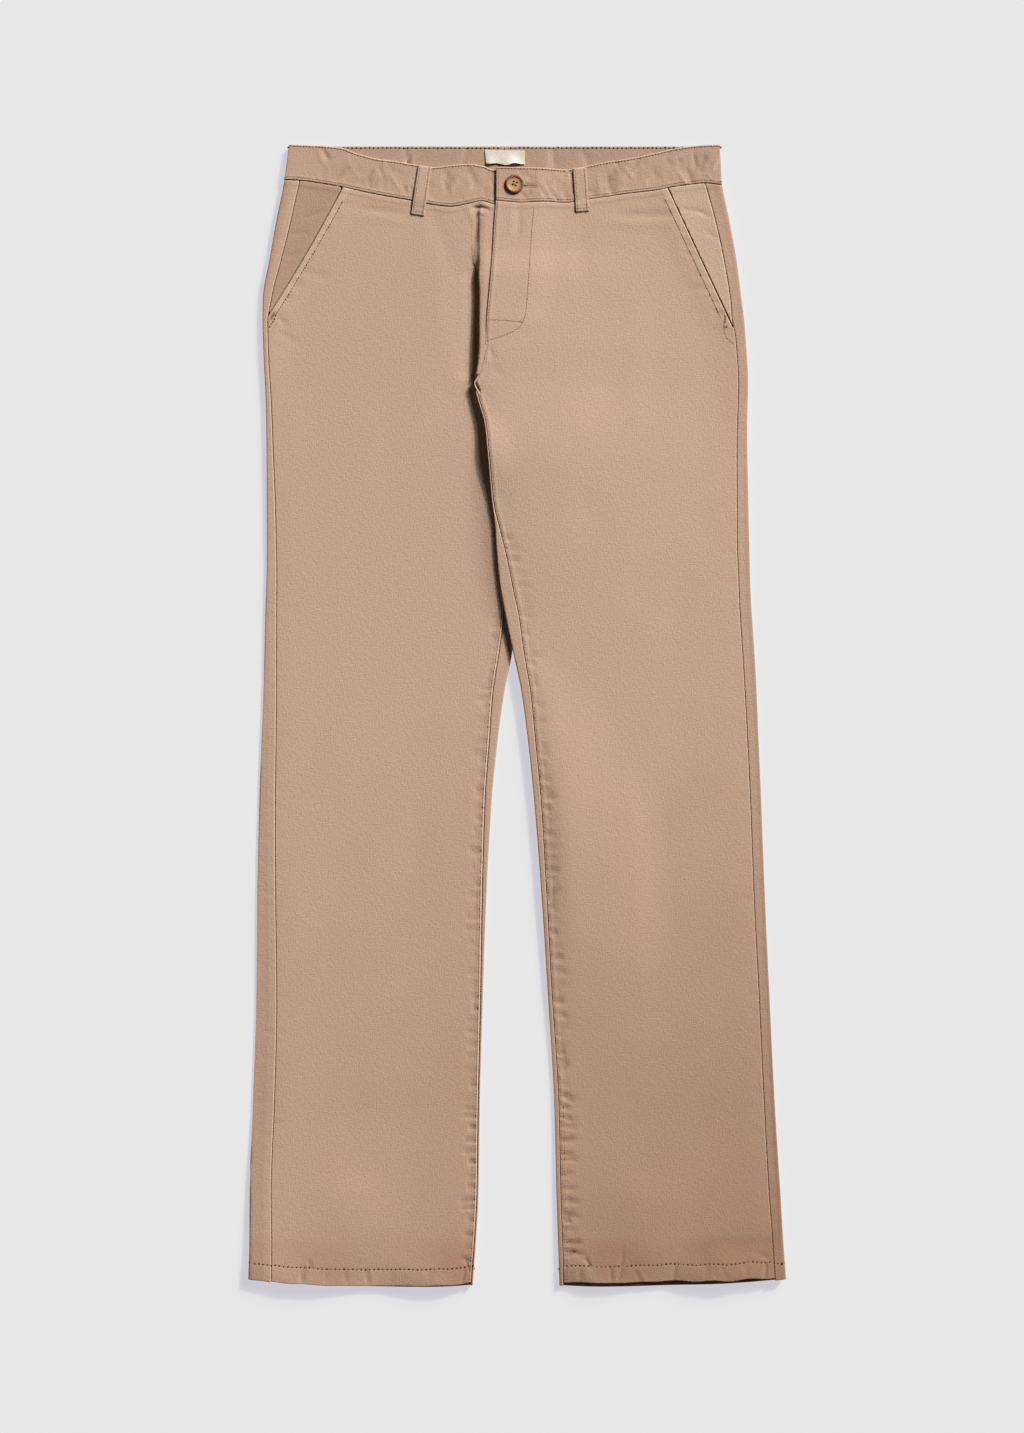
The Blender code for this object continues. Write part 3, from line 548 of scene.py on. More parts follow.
    def pocket_lift(self, leg: Leg, across: Array, down: Array) -> Array:
        """How far the front panel stands over the pocket's facing."""
        near = smooth(1 - (self.mouth(leg, down) - across) / self.pocket_spread)
        return self.pocket_rise * near * (1 - self.pocket_ending.of(down - leg.mouth.bottom))

    def front_height(self, leg: Leg, x: Array, down: Array) -> Array:
        """Height of the upper face of a front panel, apart from the fold beside the fly."""
        across = x * leg.sign
        height = self.puff(leg, across, down) + self.pocket_lift(leg, across, down)
        height = height + self.hem_lift(leg, across, down)
        return height + self.ridge(x, down) + self.fly_lap(x, down) if leg is LEFT else height

    def inseam(self, leg: Leg, down: Array) -> Array:
        """How far across a front panel's edge lies at the inseam."""
        return leg.at("inner", down) + leg.at("inner_strip", down) + self.seam

    def hem_shift(self, leg: Leg, hem: Hem, row: Array, x: Array) -> Array:
        """How far a row's point moves down so that the lowest row follows the hem.

        Args:
            leg: The leg.
            hem: The front's hem or the back's.
            row: How far down the point's row is.
            x: The point's x.

        Returns:
            The shift.
        """
        first, second, third = self.ripples
        outer, inner = leg.at("outer", self.last_row), leg.at("inner", self.last_row)
        part = np.clip((x * leg.sign - inner) / (outer - inner), 0, 1)
        line = hem.inner + (hem.outer - hem.inner) * part + hem.bow * bow(part)
        line = line + hem.ripple * (np.sin(x / first) * np.sin(x / second + 1.0) + 0.5 * np.sin(x / third))
        return (line - self.last_row) * self.hem_shifting.of(row)

    def front_waist(self, leg: Leg, across: Array) -> Array:
        """The line along which a front panel or a pocket facing meets the waistband."""
        return read(leg.band, "bottom", across) + self.waist_seam

    def front_down(self, leg: Leg, row: Array, x: Array) -> Array:
        """How far down a front panel's point lies, once its row is bent to the waistband and to the hem."""
        to_waist = (self.front_waist(leg, x * leg.sign) - self.first_row) * (1 - self.waist_shifting.of(row))
        return row + to_waist + self.hem_shift(leg, leg.front_hem, row, x)

    def band_top(self, leg: Leg, across: Array, down: Array, edge: Array) -> Array:
        """Height of the front of the waistband."""
        height = self.rolled(leg, edge - across, down) + self.band_proud
        return height + self.band_lap * (1 - self.band_lap_spread.of(across)) if leg is LEFT else height


LIE = Lie()


# ---- Cloth ----


class Side(Enum):
    """The four edges of a piece of cloth, by its grid."""

    START = "first column"
    END = "last column"
    TOP = "first row"
    BOTTOM = "last row"


class Edge(NamedTuple):
    """How an edge, or a stretch of it, is finished: the swell of its turnings, its stitches, and its pale
    wear, which below 0 is painted shade.
    """

    side: Side
    swell: float = 0.0
    turning: float = 6.0
    stitches: tuple[float, ...] = ()
    wear_and_shade: float = 0.0
    worn_run: float = 0.9
    band_worn: float = 0.0
    round: float = 0.9
    start: float = -FAR
    stop: float = FAR


class Crease(NamedTuple):
    """A soft trough (height below 0) or ridge, placed by its middle, its slant in degrees and its sizes."""

    x: float
    down: float
    slant: float
    length: float
    width: float
    height: float
    under: bool = False


class Path(NamedTuple):
    """Points that a row of stitches follows, and which way the cloth faces at each of them."""

    points: Array
    ups: Array


NEAR_EDGE = (0.0, 0.12, 0.32, 0.6, 1.0, 1.5, 2.0, 2.7, 3.6, 4.6, 5.4, 6.0, 6.6, 7.5, 9.0, 11.0)
NEAR_EDGE += (13.5, 16.5, 20.0)
NEAR_HEM = (0.0, 0.12, 0.32, 0.6, 1.0, 1.6, 2.4, 3.4, 4.6, 6.0, 7.5, 9.0, 10.6, 12.0, 13.2, 14.2)
NEAR_HEM += (14.8, 15.2, 15.6, 16.0, 16.6, 17.5, 18.8, 20.4)
NEAR_STRAP = (0.0, 0.12, 0.32, 0.6, 1.0, 1.5, 2.0, 2.6, 3.4, 4.4)
SETTLING = 4  # rounds in which a point's x and its height on the leg settle on each other


class Zone(Enum):
    """A stretch of a piece's columns."""

    FIRST = "near the first edge"
    MIDDLE = "the middle"
    ROLL = "a rolled edge"
    FOLD = "the fold beside the fly"
    STRIP = "along the front of the waistband"
    LAST = "near the last edge"


class Column(NamedTuple):
    """Where a column of points lies: its stretch, and how far along it."""

    zone: Zone
    value: float


def columns_of(zone: Zone, values: Sequence[float]) -> list[Column]:
    """A column for each value."""
    return [Column(zone, float(value)) for value in values]


@dataclass
class Cloth:
    """A sewn piece of cloth: a grid of points on its outer face, and a wall behind it."""

    name: str
    nodes: tuple[str, ...]
    wall: float = 0.8
    flip: bool = False
    edges: list[Edge] = field(default_factory=list)
    creases: Sequence[Crease] = ()
    hem: float = 0.0
    clear_of_corners: float = 1.6
    slot: str = "twill"
    tone: float = 0.0
    under_tone: float = 0.0
    # painted shade: darkens faces that turn to +X, towards the lamps
    lit_side_shade: float = 0.0
    # pale wear on narrow ridges, and painted shade in narrow troughs
    crease_wear_and_shade: float = 0.0
    soft_width: float = 4.0
    hem_lit_shade: float = 2.3  # painted shade: takes back most of the extra light that the hem's waves catch where they turn towards the lamps
    hem_shading: Span = Span(1012.0, 20.0)
    hem_shade_most: float = 0.3
    light: Triple = (0.588, 0.659, 0.470)
    groove: float = 0.16
    groove_width: float = 0.7
    blend: float = 6.0
    swelling: Span = Span(0.0, 1.2)
    easing: Span = Span(-0.8, 1.8)
    paling: Span = Span(0.0, 1.5)

    def columns(self) -> list[Column]:
        """The columns of the grid, from the first edge to the last."""
        raise NotImplementedError

    def rows(self) -> Array:
        """The rows of the grid, from the top down."""
        raise NotImplementedError

    def place(self, column: Column, rows: Array) -> Array:
        """Points of one column, as x, how far down, and height."""
        raise NotImplementedError

    def lay(self) -> None:
        """Works out the grid, its normals and its distances from the edges, and raises its relief."""
        rows = self.rows()
        laid = np.stack([self.place(column, rows) for column in self.columns()], axis=1)
        grid = np.stack([laid[..., 0], LIE.length / 2 - laid[..., 1], laid[..., 2]], axis=-1)
        normals = np.cross(np.gradient(grid, axis=0), np.gradient(grid, axis=1)) * (-1 if self.flip else 1)
        normals /= np.maximum(np.linalg.norm(normals, axis=-1, keepdims=True), 1e-9)
        runs = [np.cumsum(np.linalg.norm(np.diff(grid, axis=axis), axis=-1), axis=axis) for axis in (0, 1)]
        down, across = (np.insert(run, 0, 0.0, axis=axis) for axis, run in enumerate(runs))
        self.off = {Side.START: across, Side.END: across[:, -1:] - across}
        self.off |= {Side.TOP: down, Side.BOTTOM: down[-1:] - down}
        middle = grid.shape[1] // 2
        heading = np.sign(grid[0, middle + 1, 0] - grid[0, middle, 0])
        grain = heading * (across - across[:, middle : middle + 1])
        self.weave = np.stack([grid[:, middle : middle + 1, 0] + grain, grid[..., 1]], axis=-1)
        relief, self.wear_and_shade = self.relief(grid, normals)
        self.points, self.normals = grid + normals * relief[..., None], normals

    def relief(self, grid: Array, normals: Array) -> tuple[Array, Array]:
        """How far the outer face stands out from the plain lie, and its wear and painted shade.

        Args:
            grid: The points of the plain lie.
            normals: Which way each of them faces.

        Returns:
            The height of the relief at each point, and its wear and shade, from -1 (piece tones and painted
            shade at their darkest) to 1 (rubbed pale).
        """
        height, wear_and_shade = np.zeros(grid.shape[:2]), self.tone + np.zeros(grid.shape[:2])
        x, down = grid[..., 0], LIE.length / 2 - grid[..., 1]
        for edge in self.edges:
            off, along = self.off[edge.side], down if edge.side in (Side.START, Side.END) else x
            here = smooth((along - edge.start) / self.blend + 0.5)
            here = here * smooth((edge.stop - along) / self.blend + 0.5)
            relief = edge.swell * self.swelling.of(off) * (1 - self.easing.of(off - edge.turning))
            rounding = np.maximum(edge.round - off, 0)
            relief -= edge.round - np.sqrt(np.maximum(edge.round**2 - rounding**2, 0))
            for stitched in edge.stitches:
                relief -= self.groove * bell((off - stitched) / self.groove_width)
            height += relief * here
            wear_and_shade += edge.wear_and_shade * here * bell(off / edge.worn_run)
            wear_and_shade += edge.band_worn * here * (1 - self.paling.of(off - edge.turning))
        up, under = np.clip(normals[..., 2] * 2, 0, 1), np.clip(-normals[..., 2] * 2, 0, 1)
        # painted shade: near the hem, faces that turn towards the lamps are coloured darker, against most of
        # the light they catch
        lit = normals @ np.array(self.light) / self.light[2] - 1
        wear_and_shade = wear_and_shade - self.hem_lit_shade * np.clip(lit, 0, self.hem_shade_most) * self.hem_shading.of(down)
        # painted shade: faces that turn to +X, towards the lamps, are coloured darker
        wear_and_shade = (wear_and_shade - self.lit_side_shade * smooth(normals[..., 0])) * (1 - under) + self.under_tone * under
        for crease in self.creases:
            slant = math.radians(crease.slant)
            along = (x - crease.x) * math.cos(slant) + (down - crease.down) * math.sin(slant)
            beside = (down - crease.down) * math.cos(slant) - (x - crease.x) * math.sin(slant)
            shape = np.exp(-((beside / crease.width) ** 2) - (2 * along / crease.length) ** 4)
            shape *= crease.height * (under if crease.under else up)
            height += shape
            # pale wear on narrow ridges, and painted shade in narrow troughs
            wear_and_shade += self.crease_wear_and_shade * shape * (crease.width < self.soft_width)
        return height, np.clip(wear_and_shade, -1, 1)

    def build(self, finish: Material) -> bpy.types.Object:
        """Makes the piece's mesh, with its wall, and puts it in the place of its CAD nodes.

        Args:
            finish: The piece's material.

        Returns:
            The finished object.
        """
        self.lay()
        high, wide = self.points.shape[:2]
        index = np.arange(high * wide).reshape(high, wide)
        around = (index[:-1, :-1], index[1:, :-1], index[1:, 1:], index[:-1, 1:])
        quads = np.stack(around, axis=-1).reshape(-1, 4)
        if self.flip:
            quads = quads[:, ::-1]
        mesh = bpy.data.meshes.new(self.name)
        mesh.from_pydata((self.points.reshape(-1, 3) * MM).tolist(), [], quads.tolist())
        corners = np.zeros(len(mesh.loops), np.int64)
        mesh.loops.foreach_get("vertex_index", corners)
        weave = mesh.uv_layers.new(name="weave")
        weave.data.foreach_set("uv", (self.weave.reshape(-1, 2)[corners] * MM).astype(np.float32).ravel())
        # per-point pale wear, and below 0 the piece tones and painted shade, for the twill's colour
        wear_and_shade = mesh.attributes.new("wear_and_shade", "FLOAT", "POINT")
        wear_and_shade.data.foreach_set("value", self.wear_and_shade.ravel().astype(np.float32))
        self.surface = BVHTree.FromPolygons([Vector(p) for p in self.points.reshape(-1, 3)], quads.tolist())
        rough = placed(self.name + "_rough", mesh)
        wall = rough.modifiers.new("wall", "SOLIDIFY")
        wall.thickness, wall.offset = self.wall * MM, -1.0
        if self.hem:
            group = rough.vertex_groups.new(name="hem")
            group.add(np.flatnonzero(self.off[Side.BOTTOM].ravel() < self.hem).tolist(), 1.0, "REPLACE")
            wall.thickness, wall.vertex_group, wall.thickness_vertex_group = 2 * self.wall * MM, "hem", 0.5
        return dress(settled(rough, self.name, finish), self.nodes)

    def beside(self, side: Side, off: float, start: float = -FAR, stop: float = FAR) -> Path:
        """The line at a distance from one of the edges, for stitches.

        Args:
            side: The edge.
            off: The distance from it.
            start: Where the line starts, by x or, on a side edge, by how far down.
            stop: Where it stops.

        Returns:
            Points on the outer face, and its normals there.
        """
        far, points, normals = self.off[side], self.points, self.normals
        if side in (Side.TOP, Side.BOTTOM):
            far, points, normals = far.T, points.transpose(1, 0, 2), normals.transpose(1, 0, 2)
        if side in (Side.END, Side.BOTTOM):
            far, points, normals = far[:, ::-1], points[:, ::-1], normals[:, ::-1]
        along = LIE.length / 2 - points[:, 0, 1] if side in (Side.START, Side.END) else points[:, 0, 0]
        run = np.cumsum(np.r_[0.0, np.linalg.norm(np.diff(points[:, 0], axis=0), axis=-1)])
        inside = np.minimum(run, run[-1] - run) > self.clear_of_corners
        chosen = np.flatnonzero((along >= start) & (along <= stop) & inside)
        lines = [
            np.array([[np.interp(off, far[i], values[i, :, axis]) for axis in range(3)] for i in chosen])
            for values in (points, normals)
        ]
        return Path(*lines)

    def trace(self, corners: Sequence[Pair], step: float = 1.0) -> Path:
        """A path drawn on the piece's upper face.

        Args:
            corners: Its corners, as x and how far down.
            step: The distance between its points.

        Returns:
            Points on the outer face, and its normals there.
        """
        points, ups = [], []
        for (x0, d0), (x1, d1) in zip(corners, corners[1:]):
            count = max(1, round(math.hypot(x1 - x0, d1 - d0) / step))
            for i in range(count + ((x1, d1) == corners[-1])):
                x, down = x0 + (x1 - x0) * i / count, d0 + (d1 - d0) * i / count
                hit = self.surface.ray_cast(Vector((x, LIE.length / 2 - down, 60.0)), Vector((0, 0, -1)))
                if hit[0] is not None:
                    points.append(tuple(hit[0]))
                    ups.append(tuple(hit[1] if hit[1].z > 0 else -hit[1]))
        return Path(np.array(points), np.array(ups))


def settled(
    rough: bpy.types.Object, name: str, finish: Material | None, sharp: float = 55.0
) -> bpy.types.Object:
    """Turns an object with modifiers into one with a plain mesh.

    Args:
        rough: The object, which is removed.
        name: The new object's name.
        finish: Its material, or None where its mesh already has it.
        sharp: Edges sharper than this stay crisp, in degrees.

    Returns:
        The new object, at the origin.
    """
    depsgraph = bpy.context.evaluated_depsgraph_get()
    mesh = bpy.data.meshes.new_from_object(rough.evaluated_get(depsgraph), depsgraph=depsgraph)
    bpy.data.objects.remove(rough)
    mesh.name = name
    if finish is not None:
        mesh.materials.clear()
        mesh.materials.append(finish)
    mesh.shade_smooth()
    mesh.set_sharp_from_angle(angle=math.radians(sharp))
    return placed(name, mesh)


def dress(obj: bpy.types.Object, nodes: Sequence[str] = ()) -> bpy.types.Object:
    """Lets a piece ride on the garment, and hides its CAD nodes.

    Args:
        obj: The piece.
        nodes: The CAD nodes that it stands for.

    Returns:
        The piece.
    """
    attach(obj, BODY)
    if nodes:
        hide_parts(*nodes)
    area = sum(face.area for face in obj.data.polygons) / 2
    LOG.info("%s: %d faces, %.4f square metres", obj.name, len(obj.data.polygons), area)
    return obj


@dataclass(frozen=True)
class Pucker:
    """How the small creases beside a tight seam vary, as shares of what is asked or in millimetres."""

    depths: Pair = (0.35, 1.2)
    lengths: Pair = (6.0, 15.0)
    widths: Pair = (1.1, 2.0)
    gaps: Pair = (0.55, 1.6)
    slant: float = 9.0
    off_seam: float = 1.5
    reach: float = 0.42


PUCKER = Pucker()


def puckers(
    seed: int, line: Callable[[Array], Array], toward: int, ends: Pair, depth: Pair, gap: float
) -> list[Crease]:
    """Small creases that a tight seam draws up in the cloth beside it.

    Args:
        seed: For their unevenness.
        line: The seam's x at a height.
        toward: On which side of the seam they are: 1 for +X and -1 for -X.
        ends: How far down they start and stop.
        depth: Their depth at the start and at the stop.
        gap: The mean distance from one to the next.

    Returns:
        The creases.
    """
    draw = np.random.default_rng(seed)
    made, (start, stop) = [], ends
    down = start
    while down < stop:
        part = (down - start) / (stop - start)
        deep = (depth[0] + (depth[1] - depth[0]) * part) * draw.uniform(*PUCKER.depths)
        length = draw.uniform(*PUCKER.lengths)
        x = float(line(np.array(down))) + toward * (PUCKER.off_seam + length * PUCKER.reach)
        slant = toward * draw.normal(0, PUCKER.slant)
        made.append(Crease(x, down, slant, length, draw.uniform(*PUCKER.widths), -deep))
        down += gap * draw.uniform(*PUCKER.gaps)
    return made


# ---- Panels ----


PANEL_ROWS = np.array(
    [LIE.first_row + off for off in NEAR_EDGE[:12]]
    + evenly(LIE.first_row + 8.0, 250.0, 84)
    + evenly(253.3, 900.0, 190)
    + evenly(902.5, LIE.last_row - 22.5, 58)
    + [LIE.last_row - off for off in reversed(NEAR_HEM)]
)


@dataclass
class Front(Cloth):
    """A front panel, with its rows close along the waist and the hem."""

    def rows(self) -> Array:
        """Down the panel."""
        return PANEL_ROWS


@dataclass
class RightFront(Front):
    """The right front panel, whose edge folds in beside the fly and runs on under it."""

    flat_step: float = 1.4
    full_depth: float = 4.0
    stations: float = 12.0
    flat_columns: int = 64
    fold_columns: int = 37

    def columns(self) -> list[Column]:
        """From the pocket mouth and outseam to the fold, round it, and on under the fly."""
        flat = columns_of(Zone.FIRST, NEAR_EDGE)
        flat += columns_of(Zone.MIDDLE, evenly(0.0, 1.0, self.flat_columns)[1:])
        fold = columns_of(Zone.FOLD, evenly(0.0, self.stations, self.fold_columns)[1:])
        return flat + fold + columns_of(Zone.LAST, NEAR_EDGE[12::-1])

    def end(self, down: Array) -> Array:
        """Where the panel ends: under the fly, and below the crotch at the inseam."""
        fly = read(FLY, "edge", down) + read(FLY, "lap", down)
        return fly + (-LIE.inseam(RIGHT, down) - fly) * LIE.below_crotch(down)

    def fold(self, index: float, down: Array) -> tuple[Array, Array]:
        """X and extra height of a station of the fold.

        Args:
            index: The station's number, which may lie between two of the table's.
            down: How far down.

        Returns:
            X, and the height over the plain lie.
        """
        values = (read(FOLD, name, index) for name in Station._fields[1:])
        from_fold, with_depth, with_turn, loose, rise = values
        depth = read(FLY, "depth", down)
        turn = np.clip(depth / self.full_depth, 0, 1)
        turned = from_fold + with_depth * depth + with_turn * turn
        x = read(FLY, "fold", down) + loose + (turned - loose) * turn
        flat = self.end(down) - NEAR_EDGE[13] - (self.stations - index) * self.flat_step
        standing = LIE.fold_rise(down) * turn
        if rise > 0:
            standing = LIE.ridge(x, down) / LIE.ridge_height * LIE.untucked(down)
        return x + (flat - x) * LIE.below_crotch(down), rise * standing

    def station(self, column: Column, down: Array) -> tuple[Array, Array]:
        """X and extra height of one column.

        Args:
            column: The column.
            down: How far down.

        Returns:
            X, and the height over the plain lie.
        """
        outer = -(LIE.mouth(RIGHT, down) - LIE.seam / 2)
        if column.zone is Zone.FIRST:
            return outer + column.value, 0 * down
        if column.zone is Zone.MIDDLE:
            start = outer + NEAR_EDGE[-1]
            return start + (self.fold(0.0, down)[0] - start) * column.value, 0 * down
        if column.zone is Zone.FOLD:
            return self.fold(column.value, down)
        end = self.end(down)
        x = end + (self.fold(self.stations, down)[0] - end) * column.value / NEAR_EDGE[13]
        return x, LIE.ridge(x, down) * LIE.untucked(down)

    def place(self, column: Column, rows: Array) -> Array:
        """Points of one column."""
        down = rows
        for _ in range(SETTLING):
            x, extra = self.station(column, down)
            down = LIE.front_down(RIGHT, rows, x)
        return np.stack([x, down, LIE.front_height(RIGHT, x, down) + extra], axis=-1)


@dataclass
class LeftFront(Front):
    """The left front panel, which laps over the right one at the fly."""

    middle_columns: int = 88
    crowding: float = 1.15

    def columns(self) -> list[Column]:
        """From the fly and inseam to the pocket mouth and outseam."""
        middle = [share**self.crowding for share in evenly(0.0, 1.0, self.middle_columns)[1:-1]]
        first, last = columns_of(Zone.FIRST, NEAR_EDGE), columns_of(Zone.LAST, NEAR_EDGE[::-1])
        return first + columns_of(Zone.MIDDLE, middle) + last

    def place(self, column: Column, rows: Array) -> Array:
        """Points of one column."""
        down = rows
        for _ in range(SETTLING):
            fly = read(FLY, "edge", down)
            inner = fly + (LIE.inseam(LEFT, down) - fly) * LIE.below_crotch(down)
            outer = LIE.mouth(LEFT, down) - LIE.seam / 2
            first, last = inner + NEAR_EDGE[-1], outer - NEAR_EDGE[-1]
            x = {
                Zone.FIRST: inner + column.value,
                Zone.MIDDLE: first + (last - first) * column.value,
                Zone.LAST: outer - column.value,
            }[column.zone]
            down = LIE.front_down(LEFT, rows, x)
        return np.stack([x, down, LIE.front_height(LEFT, x, down)], axis=-1)


@dataclass
class Back(Cloth):
    """A back panel: it lies under its leg and rolls up round both edges to the seams."""

    leg: Leg = RIGHT
    ends: tuple[float, ...] = (0.0, 0.12, 0.32, 0.6, 1.0, 1.5, 2.2)
    unrolled: float = 0.3
    to_waist: float = 70.0
    under_columns: int = 20
    crowding: float = 1.3
    middle_rows: int = 330

    def columns(self) -> list[Column]:
        """From the inseam round the inside edge, across the underside, and up round the outside edge."""
        under = [share**self.crowding for share in evenly(0.0, 1.0, self.under_columns)[1:-1]]
        inside = columns_of(Zone.FIRST, self.ends) + columns_of(Zone.ROLL, evenly(-1.0, 0.0, 13)[1:])
        outside = columns_of(Zone.ROLL, evenly(0.0001, 1.0, 15)[:-1]) + columns_of(Zone.LAST, self.ends[::-1])
        return inside + columns_of(Zone.MIDDLE, under) + outside

    def rows(self) -> Array:
        """From under the waistband to the hem."""
        top = LIE.back_bottom + LIE.seam
        near = [top + off for off in NEAR_EDGE[:12]]
        hem = [LIE.last_row - off for off in reversed(NEAR_HEM)]
        return np.array(near + evenly(top + 9.0, LIE.last_row - 22.5, self.middle_rows) + hem)

    def wrapped(
        self, radius: Array, top: Array, from_seam: Array, share: float
    ) -> tuple[Array, Array, Array]:
        """Goes round a leg's edge, from the seam back to the underside.

        Args:
            radius: The edge's radius.
            top: How far inside the edge the seam lies.
            from_seam: The distance from the seam, where share is 0.
            share: How far round the point lies past the closest columns, up to 1 on the underside.

        Returns:
            The turn, the flat run beyond the roll, and the distance from the seam.
        """
        arc = radius * (math.pi - np.arcsin(np.clip(1 - top / radius, 0, 1) ** (1 / LIE.square)))
        path = arc + np.maximum(top - radius, 0)
        off = from_seam + (path - from_seam) * share
        along = path - off
        return np.minimum(along, arc) / radius, np.maximum(along - arc, 0), off

    def station(self, column: Column, down: Array) -> tuple[Array, Array, Array]:
        """X, height and turn of one column.

        Args:
            column: The column.
            down: How far down.

        Returns:
            X, the height, and how far round the outside edge each point lies, in radians.
        """
        leg, zone, value = self.leg, column.zone, column.value
        formed = LIE.inside_rolled(leg, down)
        outer, inner = leg.at("outer", down), leg.at("inner", down)
        centre_share = smooth((down - LIE.back_bottom) / (LIE.crotch - LIE.back_bottom))
        line = LIE.centre_back + (LIE.crotch_point - LIE.centre_back) * centre_share
        centre = line * leg.sign + LIE.seam / 2
        edge = centre + (inner - centre) * LIE.below_crotch(down)
        on_inside = zone is Zone.FIRST or (zone is Zone.ROLL and value <= 0)
        top = leg.at("inner_strip" if on_inside else "outer_strip", down) - LIE.seam / 2
        near = value if zone in (Zone.FIRST, Zone.LAST) else self.ends[-1]
        share = {Zone.FIRST: 0.0, Zone.LAST: 0.0, Zone.MIDDLE: 1.0}.get(zone, 1 - abs(value))
        radius = LIE.edge_height(leg, down, not on_inside) / 2
        turn, flat, off = self.wrapped(radius, top, near + 0 * down, share)
        if on_inside:
            beside = radius * (1 - LIE.squared(np.sin(turn * formed))) + flat
            across = edge + beside * formed + self.unrolled * off * (1 - formed)
            z = radius * (1 - LIE.squared(np.cos(turn * formed)))
            z = np.where(flat > 0, z + (LIE.puff(leg, across, down) - z) * formed, z)
        elif zone is Zone.MIDDLE:
            inner_top = leg.at("inner_strip", down) - LIE.seam / 2
            inner_radius = LIE.edge_height(leg, down, False) / 2
            under_off = self.wrapped(inner_radius, inner_top, self.ends[-1] + 0 * down, 1.0)[2]
            start = edge + inner_radius * formed + self.unrolled * under_off * (1 - formed)
            across = start + (outer - radius - start) * value
            z, turn = 0 * down, 0 * down
        else:
            across = outer - radius * (1 - LIE.squared(np.sin(turn))) - flat
            z = np.where(flat > 0, LIE.puff(leg, across, down), radius * (1 - LIE.squared(np.cos(turn))))
        x = across * leg.sign
        z = z + LIE.loop_lift(down) * np.clip(1 - z / radius, 0, 1)
        z = z + LIE.clear * np.clip(1 - z / radius, 0, 1)
        lift = LIE.thigh_lift(x, down) * LIE.below_crotch(down) if leg is LEFT else 0.0
        return x, z + lift + LIE.hem_lift(leg, across, down), 0 * turn if on_inside else turn

    def place(self, column: Column, rows: Array) -> Array:
        """Points of one column."""
        down, top = rows, LIE.back_bottom + LIE.seam
        for _ in range(SETTLING):
            x, z, turn = self.station(column, down)
            to_band = (LIE.front_waist(self.leg, x * self.leg.sign) - top) * smooth(turn / math.pi)
            down = rows + LIE.hem_shift(self.leg, self.leg.back_hem, rows, x)
            down = down + to_band * (1 - smooth((rows - top) / self.to_waist))
        return np.stack([x, down, z], axis=-1)


@dataclass
class Facing(Cloth):
    """A pocket facing, seen in the slanted mouth of the front pocket."""

    leg: Leg = RIGHT
    top: float = 30.0
    margin: float = 9.0
    depth: float = 130.0
    above_end: float = 3.0
    sink: float = 2.0
    slit: float = 2.2
    slit_start: float = 0.4
    steps: int = 60

    def columns(self) -> list[Column]:
        """From the outseam to a margin under the front panel, close at the mouth."""
        near = columns_of(Zone.FIRST, NEAR_EDGE[:8])
        return near + columns_of(Zone.MIDDLE, evenly(0.0, 1.0, self.steps)[1:])

    def rows(self) -> Array:
        """Shares of the way down the pocket."""
        return np.array([off / self.depth for off in NEAR_EDGE[:12]] + evenly(0.07, 1.0, self.steps))

    def place(self, column: Column, rows: Array) -> Array:
        """Points of one column."""
        down, last = self.top + 0 * rows, self.leg.mouth.bottom - self.above_end
        for _ in range(SETTLING):
            outseam, mouth = self.leg.outseam(down) - LIE.seam / 2, LIE.mouth(self.leg, down)
            start = outseam - (column.value if column.zone is Zone.FIRST else NEAR_EDGE[7])
            share = column.value if column.zone is Zone.MIDDLE else 0.0
            across = start + (mouth - self.margin - start) * share
            line = LIE.front_waist(self.leg, across)
            down = line + (last - line) * rows
        slit = smooth((mouth - across + self.slit) / (self.slit - self.slit_start))
        height = LIE.puff(self.leg, across, down) - self.sink * slit
        return np.stack([across * self.leg.sign, down, height], axis=-1)


